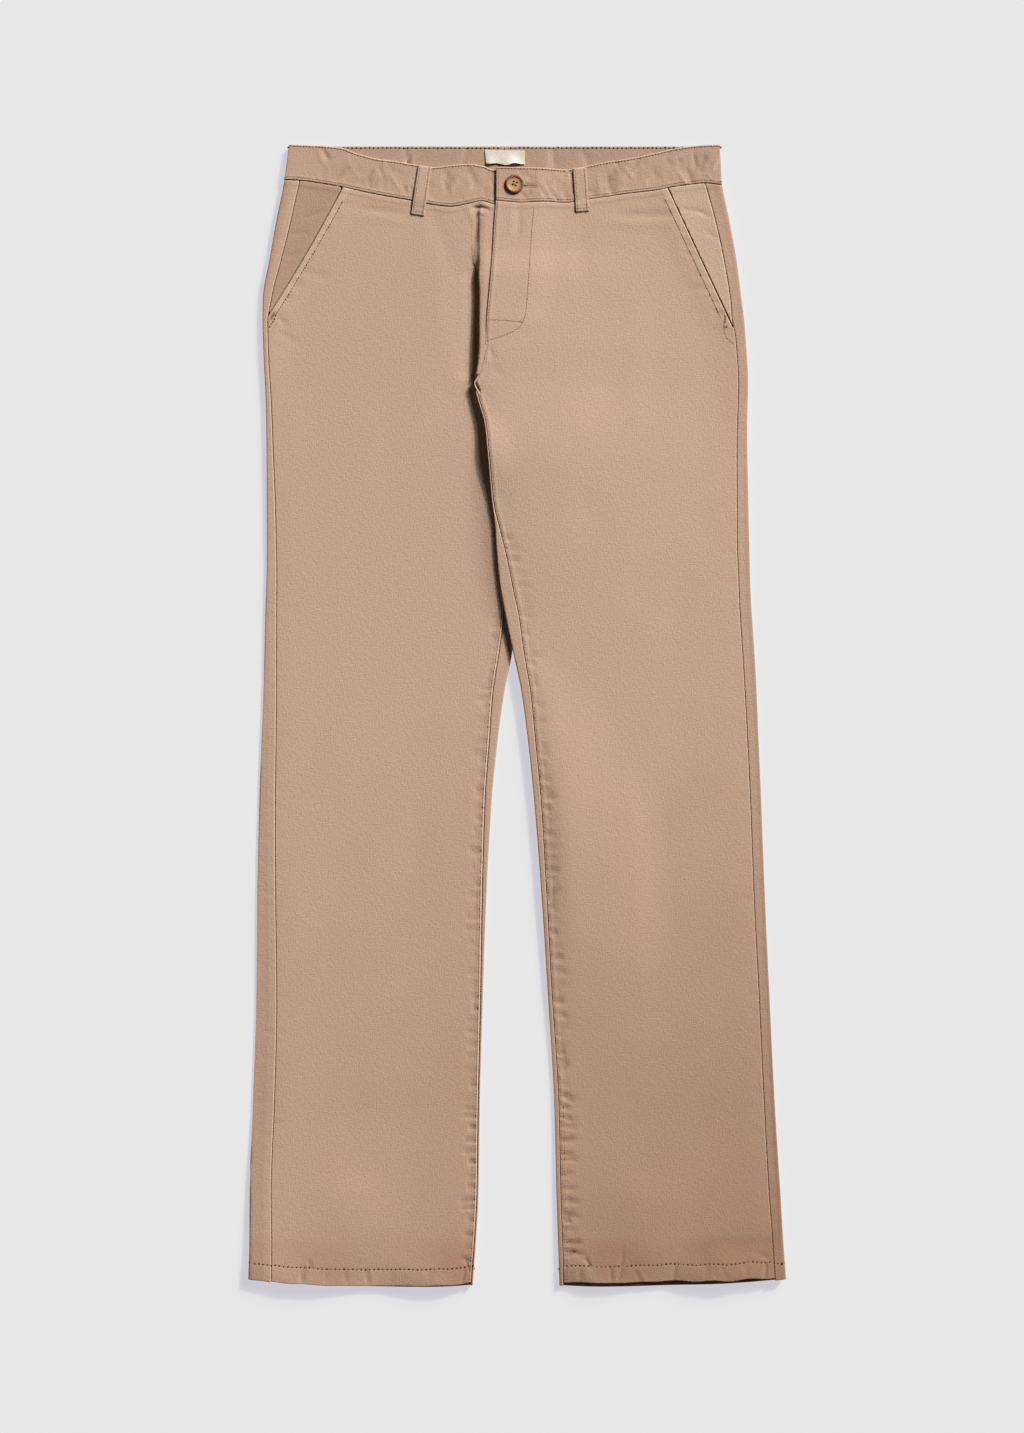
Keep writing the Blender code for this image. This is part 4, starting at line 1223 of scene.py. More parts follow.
@dataclass
class Band(Cloth):
    """Half of the waistband: along the back from the centre seam, round the side, and along the front."""

    leg: Leg = RIGHT
    depth: float = 33.0
    back_columns: int = 70
    side_columns: int = 15
    front_columns: int = 120
    middle_rows: int = 11

    def columns(self) -> list[Column]:
        """Back, side and front."""
        counts = (self.back_columns, self.side_columns, self.front_columns)
        made = columns_of(Zone.FIRST, NEAR_EDGE[:5])
        for zone, count in zip((Zone.MIDDLE, Zone.ROLL, Zone.STRIP), counts):
            made += columns_of(zone, evenly(0.0, 1.0, count)[1:])
        return made + columns_of(Zone.LAST, NEAR_EDGE[7::-1])

    def rows(self) -> Array:
        """Shares of the band's depth, close along both edges."""
        near = [off / self.depth for off in (0.0, 0.15, 0.4, 0.8, 1.1, 1.5, 2.0, 2.6, 3.2, 4.0, 5.5)]
        return np.array(mirrored(near, evenly(7.5 / self.depth, 1 - 7.5 / self.depth, self.middle_rows), 1))

    def place(self, column: Column, rows: Array) -> Array:
        """Points of one column."""
        leg, zone, value = self.leg, column.zone, column.value
        edge = leg.band_top_edge + (leg.band_bottom_edge - leg.band_top_edge) * rows
        radius = (LIE.loft + LIE.band_proud - LIE.back_rise) / 2
        start = LIE.centre_back * leg.sign + LIE.seam / 2
        near_start, near_end = start + NEAR_EDGE[4], leg.band_end + NEAR_EDGE[7]
        turn = {Zone.FIRST: 0.0, Zone.MIDDLE: 0.0, Zone.ROLL: value}.get(zone, 1.0)
        across = {
            Zone.FIRST: start + value + 0 * edge,
            Zone.MIDDLE: near_start + (edge - radius - near_start) * value,
            Zone.ROLL: edge - radius + radius * LIE.squared(math.sin(math.pi * turn)),
            Zone.STRIP: edge - radius + (near_end - edge + radius) * value,
            Zone.LAST: leg.band_end + value + 0 * edge,
        }[zone]
        back_down = LIE.back_top + (LIE.back_bottom - LIE.back_top) * rows
        line = read(leg.band, "top", across) * (1 - rows) + read(leg.band, "bottom", across) * rows
        down = back_down + (line - back_down) * smooth(np.array(turn))
        z = LIE.back_rise + radius * (1 - LIE.squared(math.cos(math.pi * turn))) + 0 * across
        if turn == 1.0:
            z = LIE.band_top(leg, across, down, edge)
        return np.stack([across * leg.sign, down, z], axis=-1)


class LoopPlace(NamedTuple):
    """Where a front belt loop runs, from its top to its lower end."""

    top_across: float
    top: float
    bottom_across: float
    bottom: float


@dataclass
class Loop(Cloth):
    """A front belt loop, from the top of the band to a little below it."""

    leg: Leg = RIGHT
    at: LoopPlace = LoopPlace(86.4, 20.4, 93.4, 66.6)
    width: float = 12.6
    arch: float = 0.4
    arch_end: float = 1.15
    arch_fullness: float = 0.7
    stepping: Span = Span(-1.0, 6.0)
    lift: float = 1.05
    flattened: float = 0.8
    flattening: Span = Span(0.8, 0.2)
    turned: float = 0.3
    turning: Span = Span(0.86, 0.03)
    off_panel: float = 0.4

    def columns(self) -> list[Column]:
        """Across the loop, close at both edges."""
        return columns_of(Zone.MIDDLE, mirrored(NEAR_STRAP, (5.6, 7.0), self.width))

    def rows(self) -> Array:
        """Shares of the loop's length, close at both ends."""
        near = (0.0, 0.003, 0.007, 0.013, 0.022, 0.033, 0.045, 0.06, 0.08)
        return np.array(mirrored(near, evenly(0.1, 0.9, 31), 1))

    def place(self, column: Column, rows: Array) -> Array:
        """Points of one column."""
        at, leg = self.at, self.leg
        lean = (at.bottom_across - at.top_across) / (at.bottom - at.top)
        along = (at.bottom - at.top) * rows
        sideways = column.value - self.width / 2
        across = at.top_across + lean * along + sideways
        down = at.top + along - lean * sideways
        on_band = LIE.band_top(leg, across, down, leg.band_bottom_edge)
        on_panel = LIE.front_height(leg, across * leg.sign, down) + self.off_panel
        below_band = self.stepping.of(down - read(leg.band, "bottom", across))
        stands = self.lift * (1 - self.flattened * self.flattening.of(rows))
        stands = stands + self.turned * self.turning.of(rows)
        arched = np.sin(np.pi * np.minimum(rows * self.arch_end, 1)) ** self.arch_fullness
        stands = stands + self.arch * arched
        height = on_band + (on_panel - on_band) * below_band + stands
        return np.stack([across * leg.sign, down, height], axis=-1)


@dataclass
class BackLoop(Cloth):
    """A belt loop of the back, flat under the waistband."""

    x: float = 0.0
    width: float = 12.6
    clear: float = 0.12

    def columns(self) -> list[Column]:
        """Across the loop, close at both edges."""
        return columns_of(Zone.MIDDLE, mirrored(NEAR_STRAP, (6.3,), self.width))

    def rows(self) -> Array:
        """Down the loop."""
        near = (0.0, 0.12, 0.32, 0.6, 1.0, 1.5, 2.0, 3.0)
        return LIE.back_top + np.array(mirrored(near, evenly(5.0, 40.0, 15), LIE.loop_end - LIE.back_top))

    def place(self, column: Column, rows: Array) -> Array:
        """Points of one column, on the side that faces the floor."""
        x = self.x - self.width / 2 + column.value + 0 * rows
        return np.stack([x, rows, self.clear + 0 * rows], axis=-1)


@dataclass
class Label(Cloth):
    """The bare label, sewn by its ends inside the back of the waistband, with its lower edge waving free."""

    left: float = -30.0
    right: float = 7.0
    top: float = 5.2
    bottom: float = 18.2
    slants: Pair = (0.6, 0.5)
    waves: tuple[Triple, ...] = ((0.8, 9.5, 3.2), (0.5, 15.0, 0.0))
    off_band: float = 2.4
    lifted: float = 2.2
    lifting: Triple = (1.5, 9.5, 1.7)
    held: float = 0.6

    def columns(self) -> list[Column]:
        """Along the label."""
        return columns_of(Zone.MIDDLE, mirrored((0.0, 0.003, 0.008, 0.015), evenly(0.03, 0.97, 36), 1.0))

    def rows(self) -> Array:
        """Down the label."""
        return np.array(mirrored((0.0, 0.01, 0.025, 0.05), evenly(0.1, 0.9, 13), 1.0))

    def place(self, column: Column, rows: Array) -> Array:
        """Points of one column."""
        part = column.value
        free = math.sin(math.pi * part) ** self.held
        wave = sum(size * math.sin(turns * part + start) for size, turns, start in self.waves) * free
        x = self.left + (self.right - self.left) * part + self.slants[0] * rows
        down = self.top + self.slants[1] * part + (self.bottom - self.top) * rows + wave * rows
        size, turns, start = self.lifting
        lift = (self.lifted + size * math.sin(turns * part + start)) * rows**2 * free
        return np.stack([x, down, LIE.back_rise + self.off_band + lift], axis=-1)


# ---- Stitches ----


@dataclass(frozen=True)
class StitchSizes:
    """A kind of stitch: its spacing, its thread's size, the size of the dark dot of painted shade at its
    needle hole, and its turn in degrees.
    """

    pitch: float
    length: float
    width: float
    height: float
    turn: float = 0.0
    hole: float = 0.1
    hole_height: float = 0.1


class Stitch(Enum):
    """The kinds of stitch in the garment."""

    LOCKSTITCH = StitchSizes(2.9, 2.2, 0.62, 0.6, hole=0.9, hole_height=0.4)
    LOOPED = StitchSizes(2.9, 1.9, 0.7, 0.6, hole=1.5, hole_height=0.55)
    HEM = StitchSizes(4.0, 2.6, 0.7, 0.6, hole=2.2, hole_height=0.8)
    BAR_TACK = StitchSizes(0.55, 2.6, 0.5, 0.5, 90.0)
    PURL = StitchSizes(0.7, 1.5, 0.55, 0.6, 90.0)


@dataclass
class Stitching:
    """Rows of stitches of one kind, made along their paths by Geometry Nodes."""

    name: str
    kind: Stitch
    paths: list[Path]
    seed: int = 1
    sway: float = 0.12
    thickness: Pair = (0.88, 1.1)

    def given(self, finish: Material) -> dict:
        """The named inputs of the node tree."""
        sizes = {name: value * MM for name, value in vars(self.kind.value).items()}
        return {**sizes, "turn": math.radians(self.kind.value.turn), "seed": self.seed, "thread": finish}

    def tree(self) -> bpy.types.NodeTree:
        """Builds the node tree that lays a thread, and a dark dot of painted shade at its needle hole, at
        each step along the paths.
        """
        tree = bpy.data.node_groups.new(self.name, "GeometryNodeTree")
        kinds = {"geometry": "Geometry", "seed": "Int", "thread": "Material"}
        for name in ("geometry", *self.given(None)):
            kind = "NodeSocket" + kinds.get(name, "Float")
            tree.interface.new_socket(name, in_out="INPUT", socket_type=kind)
        tree.interface.new_socket("geometry", in_out="OUTPUT", socket_type="NodeSocketGeometry")
        given = add(tree, "GroupInput").outputs
        ball = add(tree, "MeshUVSphere", {"Segments": 6, "Rings": 4, "Radius": 0.5})
        laid = add(tree, "Transform", {"Geometry": ball, "Rotation": (0, math.pi / 2, 0)})
        along = add(tree, "SeparateXYZ", [add(tree, "InputPosition")])
        # painted shade: the thread darkens towards its ends, where it dives into the cloth, and the
        # needle-hole dot is fully dark
        dive = add(tree, "Math", [along.outputs["X"], 2.0], operation="MULTIPLY")
        dive = add(tree, "Math", [dive], operation="ABSOLUTE")
        dive = {"Geometry": laid, "Name": "dive", "Value": dive}
        laid = add(tree, "StoreNamedAttribute", dive, data_type="FLOAT")
        size = add(tree, "CombineXYZ", [given["length"], given["width"], given["height"]])
        laid = add(tree, "Transform", {"Geometry": laid, "Scale": size})
        beyond = add(tree, "CombineXYZ", [add(tree, "Math", [given["pitch"], 0.5], operation="MULTIPLY")])
        # painted shade: a flat dark dot between stitches stands for the shade in the needle hole
        hole_shade_dot = add(tree, "MeshUVSphere", {"Segments": 6, "Rings": 3, "Radius": 0.5})
        hole_shade_dot = add(tree, "StoreNamedAttribute", {**dive, "Geometry": hole_shade_dot, "Value": 1.0}, data_type="FLOAT")
        size = add(tree, "CombineXYZ", [given["hole"], given["hole"], given["hole_height"]])
        hole_shade_dot = add(tree, "Transform", {"Geometry": hole_shade_dot, "Translation": beyond, "Scale": size})
        stitch = add(tree, "JoinGeometry", [hole_shade_dot])
        feed(stitch, [laid])
        line = add(tree, "MeshToCurve", [given["geometry"]])
        spaced = add(tree, "ResampleCurve", {"Curve": line, "Length": given["pitch"]}, mode="LENGTH")
        up = add(tree, "InputNamedAttribute", {"Name": "up"}, data_type="FLOAT_VECTOR")
        heading = add(tree, "AlignRotationToVector", {"Vector": up}, axis="Z")
        along = {"Rotation": heading, "Vector": add(tree, "InputTangent")}
        heading = add(tree, "AlignRotationToVector", along, axis="X", pivot_axis="Z")
        ends = {2: -self.sway, 3: self.sway, "Seed": given["seed"]}
        wander = add(tree, "RandomValue", ends, data_type="FLOAT")
        spin = add(tree, "CombineXYZ", {"Z": add(tree, "Math", [given["turn"], wander], operation="ADD")})
        spun = {"Rotation": heading, "Rotate By": add(tree, "EulerToRotation", [spin])}
        turned = add(tree, "RotateRotation", spun, rotation_space="LOCAL")
        least, most = self.thickness
        vary = add(tree, "RandomValue", {2: least, 3: most, "Seed": given["seed"]}, data_type="FLOAT")
        stitch = {"Points": spaced, "Instance": stitch, "Rotation": turned, "Scale": vary}
        real = add(tree, "RealizeInstances", [add(tree, "InstanceOnPoints", stitch)])
        soft = add(tree, "SetShadeSmooth", [real])
        coloured = add(tree, "SetMaterial", {"Geometry": soft, "Material": given["thread"]})
        add(tree, "GroupOutput", [coloured])
        return tree

    def build(self, finish: Material) -> bpy.types.Object:
        """Makes all the rows one mesh.

        Args:
            finish: The thread's material.

        Returns:
            The stitches.
        """
        points = np.concatenate([path.points for path in self.paths])
        ups = np.concatenate([path.ups for path in self.paths])
        edges, start = [], 0
        for path in self.paths:
            edges += [(start + i, start + i + 1) for i in range(len(path.points) - 1)]
            start += len(path.points)
        mesh = bpy.data.meshes.new(self.name)
        mesh.from_pydata((points * MM).tolist(), edges, [])
        facing = mesh.attributes.new("up", "FLOAT_VECTOR", "POINT")
        facing.data.foreach_set("vector", ups.astype(np.float32).ravel())
        rough = placed(self.name + "_rough", mesh)
        modifier = rough.modifiers.new("stitches", "NODES")
        modifier.node_group = self.tree()
        given = self.given(finish)
        for socket in modifier.node_group.interface.items_tree:
            if socket.name in given:
                modifier[socket.identifier] = given[socket.name]
        return dress(settled(rough, self.name, None, 180.0))


# ---- Finishes ----


@dataclass(frozen=True)
class Finish:
    """A material, made from its node tree."""

    name: str = "finish"

    def inputs(self, tree: bpy.types.NodeTree) -> dict:
        """What the shader's inputs take, with the nodes that make it added to the tree."""
        raise NotImplementedError

    def build(self) -> Material:
        """Makes the material."""
        made = bpy.data.materials.new(self.name)
        made.use_nodes = True
        feed(made.node_tree.nodes["Principled BSDF"], self.inputs(made.node_tree))
        return made


@dataclass(frozen=True)
class Twill(Finish):
    """Cotton twill, piece-dyed khaki and garment-washed: matt, with a slanting rib and paler seam edges."""

    name: str = "washed_cotton_twill"
    dye: str = "C9A78F"
    # the pale colour of rubbed wear, mixed in where the attribute is above 0
    wear_and_shade: str = "E6CDB6"
    # painted shade: the darker colour mixed in towards the hems and the left, and by the piece tones and
    # painted shade below 0
    deep: str = "9A755D"
    deepest: float = 0.71
    sheen: str = "F3E3D2"
    rib: float = 1.9  # the real rib is 0.7 mm and too fine to show, so it is drawn coarser
    rib_slant: float = 58.0
    yarn: float = 1.1
    slub: float = 5.0
    fleck: float = 1.7
    cloud: float = 48.0
    tones: tuple[float, ...] = (0.003, 0.12, 0.12, 0.4, 0.08)  # of rib, warp, weft, fleck and cloud
    reliefs: Triple = (0.05, 0.7, 0.8)  # of rib, weft and fleck beside the warp's
    # painted shade: a falloff of light from the top of the garment, stronger towards +X
    falloff_top: float = 0.09
    falloff_bottom: float = -0.531
    settling: float = 1.15
    leftwards: Pair = (0.34, 1.2)

    def inputs(self, tree: bpy.types.NodeTree) -> dict:
        """Ribs, slubby yarns, flecks and clouds of dye, with painted shade that darkens the cloth towards the
        hems and the left.
        """
        cut = add(tree, "UVMap", uv_map="weave")
        cloth = add(tree, "VectorMath", {0: cut, "Scale": 1 / MM}, operation="SCALE")
        slant, rib_step = math.radians(self.rib_slant), 2 * math.pi / self.rib
        across_rib = (math.cos(slant) * rib_step, math.sin(slant) * rib_step, 0.0)
        phase = add(tree, "VectorMath", [cloth, across_rib], operation="DOT_PRODUCT")
        rib = add(tree, "Math", [phase], operation="SINE")

        def noise(across: float, along: float, detail: float) -> bpy.types.Node:
            """Unevenness of that size across and along the warp, about 0."""
            scaled = add(tree, "VectorMath", [cloth, (1 / across, 1 / along, 1.0)], operation="MULTIPLY")
            texture = add(tree, "TexNoise", {"Vector": scaled, "Scale": 1.0, "Detail": detail})
            return add(tree, "Math", [texture, 0.5], operation="SUBTRACT")

        warp = noise(self.yarn, self.slub, 1.0)
        weft = noise(self.slub, self.yarn, 1.0)
        fleck = noise(self.fleck, self.fleck, 2.0)
        cloud = noise(self.cloud, self.cloud * 1.6, 3.0)
        tone = 1.0
        for texture, amount in zip((rib, warp, weft, fleck, cloud), self.tones):
            tone = add(tree, "Math", [texture, amount, tone], operation="MULTIPLY_ADD")
        # painted shade: darker towards the hems and towards +X, as the light falls off
        xyz = add(tree, "SeparateXYZ", [add(tree, "TexCoord").outputs["Object"]]).outputs
        ends = {"From Min": self.falloff_top, "From Max": self.falloff_bottom}
        lower = add(tree, "MapRange", {"Value": xyz["Y"], **ends})
        lower = add(tree, "Math", [lower, self.settling], operation="POWER")
        least, most = self.leftwards
        to_left = {"Value": xyz["X"], "From Min": -0.25, "From Max": 0.25, "To Min": least, "To Max": most}
        painted_falloff = add(tree, "Math", [lower, add(tree, "MapRange", to_left)], operation="MULTIPLY")
        # above 0 pale rubbed wear; below 0 the piece tones and painted shade, which deepen the dye
        wear_and_shade_level = add(tree, "Attribute", attribute_name="wear_and_shade").outputs["Fac"]
        tone_and_painted_shade = add(tree, "Math", [wear_and_shade_level, 0.0], operation="MINIMUM")
        depth = add(tree, "Math", [painted_falloff, tone_and_painted_shade], operation="SUBTRACT")
        depth = add(tree, "Math", [depth, self.deepest], operation="MULTIPLY")
        colour = add(tree, "Mix", {0: depth, 6: linear(self.dye), 7: linear(self.deep)}, data_type="RGBA")
        colour = add(tree, "Mix", {0: wear_and_shade_level, 6: colour, 7: linear(self.wear_and_shade)}, data_type="RGBA")
        height = warp
        for texture, amount in zip((rib, weft, fleck), self.reliefs):
            height = add(tree, "Math", [texture, amount, height], operation="MULTIPLY_ADD")
        return {
            "Base Color": add(tree, "VectorMath", {0: colour, "Scale": tone}, operation="SCALE"),
            "Roughness": add(tree, "Math", [fleck, 0.2, 0.9], operation="MULTIPLY_ADD"),
            "Normal": add(tree, "Bump", {"Strength": 0.5, "Distance": 0.0004, "Height": height}),
            "Specular IOR Level": 0.25,
            "Sheen Weight": 0.12,
            "Sheen Roughness": 0.5,
            "Sheen Tint": linear(self.sheen),
        }


@dataclass(frozen=True)
class Thread(Finish):
    """Spun polyester sewing thread, twisted: fuzzy and matt, with painted shade where each stitch dives into
    the cloth and at its needle holes.
    """

    name: str = "spun_polyester_thread"
    top: str = "AC8262"
    # painted shade: the colour of a stitch's ends and of its needle-hole dot
    sunk: str = "4A2A1A"
    twist: float = 0.6

    def inputs(self, tree: bpy.types.NodeTree) -> dict:
        """A fine twist, and painted shade where the stitch dives."""
        dive = add(tree, "Attribute", attribute_name="dive").outputs["Fac"]
        ends = {"Value": dive, "From Min": 0.35, "From Max": 1.0}
        deep = add(tree, "MapRange", ends, interpolation_type="SMOOTHSTEP")
        place = add(tree, "TexCoord").outputs["Object"]
        twist = add(tree, "TexNoise", {"Vector": place, "Scale": 1 / MM / self.twist, "Detail": 1.0})
        colour = add(tree, "Mix", {0: deep, 6: linear(self.top), 7: linear(self.sunk)}, data_type="RGBA")
        uneven = add(tree, "Math", [twist, 0.5, 0.75], operation="MULTIPLY_ADD")
        return {
            "Base Color": add(tree, "VectorMath", {0: colour, "Scale": uneven}, operation="SCALE"),
            "Roughness": add(tree, "Math", [twist, 0.25, 0.65], operation="MULTIPLY_ADD"),
            "Sheen Weight": 0.2,
        }


@dataclass(frozen=True)
class Tape(Finish):
    """Cream woven label tape: a tight plain weave that reads as fine cross-ribs."""

    name: str = "cream_woven_tape"
    yarn: str = "EDE3D5"
    gap: str = "D0C2AF"
    rib: float = 0.8

    def inputs(self, tree: bpy.types.NodeTree) -> dict:
        """Yarns that cross, with darker gaps between them."""
        cut = add(tree, "UVMap", uv_map="weave")
        step = 2 * math.pi / self.rib / MM
        turns = []
        for axis in ((step, 0.0, 0.0), (0.0, step, 0.0)):
            phase = add(tree, "VectorMath", [cut, axis], operation="DOT_PRODUCT")
            turns.append(add(tree, "Math", [phase], operation="SINE"))
        weave = add(tree, "Math", turns, operation="MULTIPLY")
        share = add(tree, "Math", [weave, 0.22, 0.25], operation="MULTIPLY_ADD")
        colours = {0: share, 6: linear(self.yarn), 7: linear(self.gap)}
        return {
            "Base Color": add(tree, "Mix", colours, data_type="RGBA"),
            "Roughness": add(tree, "Math", [weave, 0.08, 0.82], operation="MULTIPLY_ADD"),
            "Normal": add(tree, "Bump", {"Strength": 0.4, "Distance": 0.0002, "Height": weave}),
        }


@dataclass(frozen=True)
class Corozo(Finish):
    """Turned corozo nut: a golden face with fine growth rings, scorched brown on its rim, satin polished."""

    name: str = "turned_corozo"
    face: str = "C29A62"
    ring: str = "A06C50"
    rim: str = "8C563C"
    # painted shade: the colour inside the holes
    hole: str = "2E1A10"
    at: Triple = (0.0, 0.0, 0.0)
    face_radius: float = 5.6
    ring_at: Pair = (0.1, 1.1)
    rim_at: Pair = (1.6, 3.0)
    wobble: float = 0.8
    hole_deep: float = 0.2
    holes_radius: float = 3.4
    grain: float = 0.7

    def inputs(self, tree: bpy.types.NodeTree) -> dict:
        """The face, its ring and its rim by their distance out, with a streaky grain, and painted shade in
        its holes.
        """
        place = add(tree, "TexCoord").outputs["Object"]
        centring = {"Vector": place, "Location": (-self.at[0], -self.at[1], 0.0), "Scale": (1, 1, 0)}
        centred = add(tree, "Mapping", centring, vector_type="POINT")
        out = add(tree, "VectorMath", [centred], operation="LENGTH")
        out = add(tree, "Math", [out, 1 / MM], operation="MULTIPLY")
        streak = (1 / MM / self.grain, 1 / MM / (6 * self.grain), 1.0)
        streaks = add(tree, "VectorMath", [centred, streak], operation="MULTIPLY")
        grain = add(tree, "TexNoise", {"Vector": streaks, "Scale": 1.0, "Detail": 3.0})
        wobble = add(tree, "Math", [grain, self.wobble, out], operation="MULTIPLY_ADD")
        colour = linear(self.face)
        for next_colour, (start, stop) in ((self.ring, self.ring_at), (self.rim, self.rim_at)):
            ends = {"From Min": self.face_radius + start, "From Max": self.face_radius + stop}
            share = add(tree, "MapRange", {"Value": wobble, **ends})
            colour = add(tree, "Mix", {0: share, 6: colour, 7: linear(next_colour)}, data_type="RGBA")
        tone = add(tree, "Math", [grain, 0.6, 0.7], operation="MULTIPLY_ADD")
        toned = add(tree, "VectorMath", {0: colour, "Scale": tone}, operation="SCALE")
        # painted shade: faces that sink below the button's face, inside the ring of holes, take the dark hole
        # colour
        height = add(tree, "SeparateXYZ", [place]).outputs["Z"]
        depth = {"Value": height, "From Min": self.at[2], "From Max": self.at[2] - self.hole_deep * MM}
        sunk = add(tree, "MapRange", depth)
        near = add(tree, "Math", [out, self.holes_radius], operation="LESS_THAN")
        sunk = add(tree, "Math", [sunk, near], operation="MULTIPLY")
        return {
            "Base Color": add(tree, "Mix", {0: sunk, 6: toned, 7: linear(self.hole)}, data_type="RGBA"),
            "Roughness": add(tree, "Math", [grain, 0.2, 0.4], operation="MULTIPLY_ADD"),
            "Normal": add(tree, "Bump", {"Strength": 0.2, "Distance": 0.0001, "Height": grain}),
        }


@dataclass(frozen=True)
class Paper(Finish):
    """Seamless studio paper, evenly lit: part of its light is its own, so that shadows on it stay pale."""

    name: str = "studio_paper"
    face: str = "878A78"
    glow: str = "C8C6D0"

    def inputs(self, tree: bpy.types.NodeTree) -> dict:
        """Even colours, and no shine."""
        return {
            "Base Color": linear(self.face),
            "Roughness": 1.0,
            "Specular IOR Level": 0.0,
            "Emission Color": linear(self.glow),
            "Emission Strength": 1.0,
        }


# ---- Sub-assemblies ----


class Turn(NamedTuple):
    """A point of the button's section."""

    radius: float
    height: float


BUTTON_SECTION = rows_of(
    Turn,
    (0.0, 1.95), (3.6, 1.95), (5.0, 2.05), (5.9, 2.35), (6.5, 2.85), (7.1, 3.15), (7.7, 3.2), (8.2, 3.0),
    (8.6, 2.55), (8.8, 2.0), (8.7, 1.5), (8.2, 0.9), (7.2, 0.4), (6.2, 0.2), (0.0, 0.2),
)


@dataclass
class Button:
    """The waist button: a turned disc with a raised rim and four holes, sewn on with a crossed thread."""

    x: float = -2.2
    down: float = 37.4
    facets: int = 72
    hole: float = 0.95
    hole_ring: float = 2.05
    hole_turn: float = 26.0
    sunk: float = 1.1
    thick: float = 0.72
    drill_sides: int = 18
    drill_length: float = 6.0
    drill_middle: float = 3.35
    softness: float = 0.12
    strand: float = 0.2
    strand_sides: int = 8
    strand_steps: int = 16
    strand_height: float = 2.1
    strand_short: float = 0.5

    def place(self) -> Triple:
        """The middle of the button's back, in millimetres."""
        low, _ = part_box("button")
        return self.x, LIE.length / 2 - self.down, low.z / MM - self.sunk

    def build(self, disc: Material, thread: Material) -> None:
        """Makes the disc with its holes, and the thread through them."""
        bm = bmesh.new()
        ring = [bm.verts.new((turn.radius, 0.0, turn.height * self.thick)) for turn in BUTTON_SECTION]
        chain = [bm.edges.new(pair) for pair in zip(ring, ring[1:])]
        whole = {"cent": (0, 0, 0), "axis": (0, 0, 1), "angle": 2 * math.pi, "use_merge": True}
        bmesh.ops.spin(bm, geom=chain, steps=self.facets, **whole)
        bmesh.ops.remove_doubles(bm, verts=bm.verts, dist=0.001)
        bmesh.ops.recalc_face_normals(bm, faces=bm.faces)
        rough = self.object("button_rough", bm)
        cutters = []
        for index in range(4):
            angle = math.radians(self.hole_turn + 90 * index)
            drill = bmesh.new()
            sizes = {"radius1": self.hole, "radius2": self.hole, "depth": self.drill_length}
            bmesh.ops.create_cone(drill, cap_ends=True, segments=self.drill_sides, **sizes)
            across = (self.hole_ring * math.cos(angle), self.hole_ring * math.sin(angle), self.drill_middle)
            bmesh.ops.translate(drill, vec=across, verts=drill.verts)
            cutters.append(self.object(f"drill_{index}", drill))
            cut = rough.modifiers.new("hole", "BOOLEAN")
            cut.object, cut.solver = cutters[-1], "EXACT"
        soft = rough.modifiers.new("soft edges", "BEVEL")
        soft.width, soft.segments = self.softness * MM, 2
        soft.limit_method, soft.angle_limit = "ANGLE", math.radians(60)
        obj = settled(rough, "button_disc", disc, 50.0)
        for cutter in cutters:
            bpy.data.objects.remove(cutter)
        dress(obj, ("button",))
        dress(settled(self.crossing(), "button_thread", thread, 180.0))

    def object(self, name: str, bm: bmesh.types.BMesh) -> bpy.types.Object:
        """An object from a bmesh in millimetres, moved to the button's place."""
        bmesh.ops.translate(bm, vec=self.place(), verts=bm.verts)
        bmesh.ops.scale(bm, vec=(MM, MM, MM), verts=bm.verts)
        mesh = bpy.data.meshes.new(name)
        bm.to_mesh(mesh)
        bm.free()
        return placed(name, mesh)

    def crossing(self) -> bpy.types.Object:
        """The thread: two strands that cross over the button's face, and dive into its holes."""
        bm = bmesh.new()
        up, sides = Vector((0, 0, 1)), self.strand_sides
        for turn, lift in ((self.hole_turn, 0.0), (self.hole_turn + 90, 0.2)):
            cos, sin = math.cos(math.radians(turn)), math.sin(math.radians(turn))
            rings = []
            for part in evenly(-1.0, 1.0, self.strand_steps + 1):
                out = part * (self.hole_ring - self.strand_short)
                height = self.strand_height * self.thick + lift * (1 - abs(part)) + 0.1 * (1 - part**2)
                height -= 6 * max(0, abs(part) - 0.8)
                centre, side = Vector((out * cos, out * sin, height)), Vector((-sin, cos, 0))
                turns = [2 * math.pi * k / sides for k in range(sides)]
                points = [centre + self.strand * (side * math.cos(t) + up * math.sin(t)) for t in turns]
                rings.append([bm.verts.new(point) for point in points])
            for first, second in zip(rings, rings[1:]):
                for k in range(sides):
                    bm.faces.new((first[k], first[(k + 1) % sides], second[(k + 1) % sides], second[k]))
            bm.faces.new(rings[0][::-1])
            bm.faces.new(rings[-1])
        bmesh.ops.recalc_face_normals(bm, faces=bm.faces)
        return self.object("crossing_rough", bm)


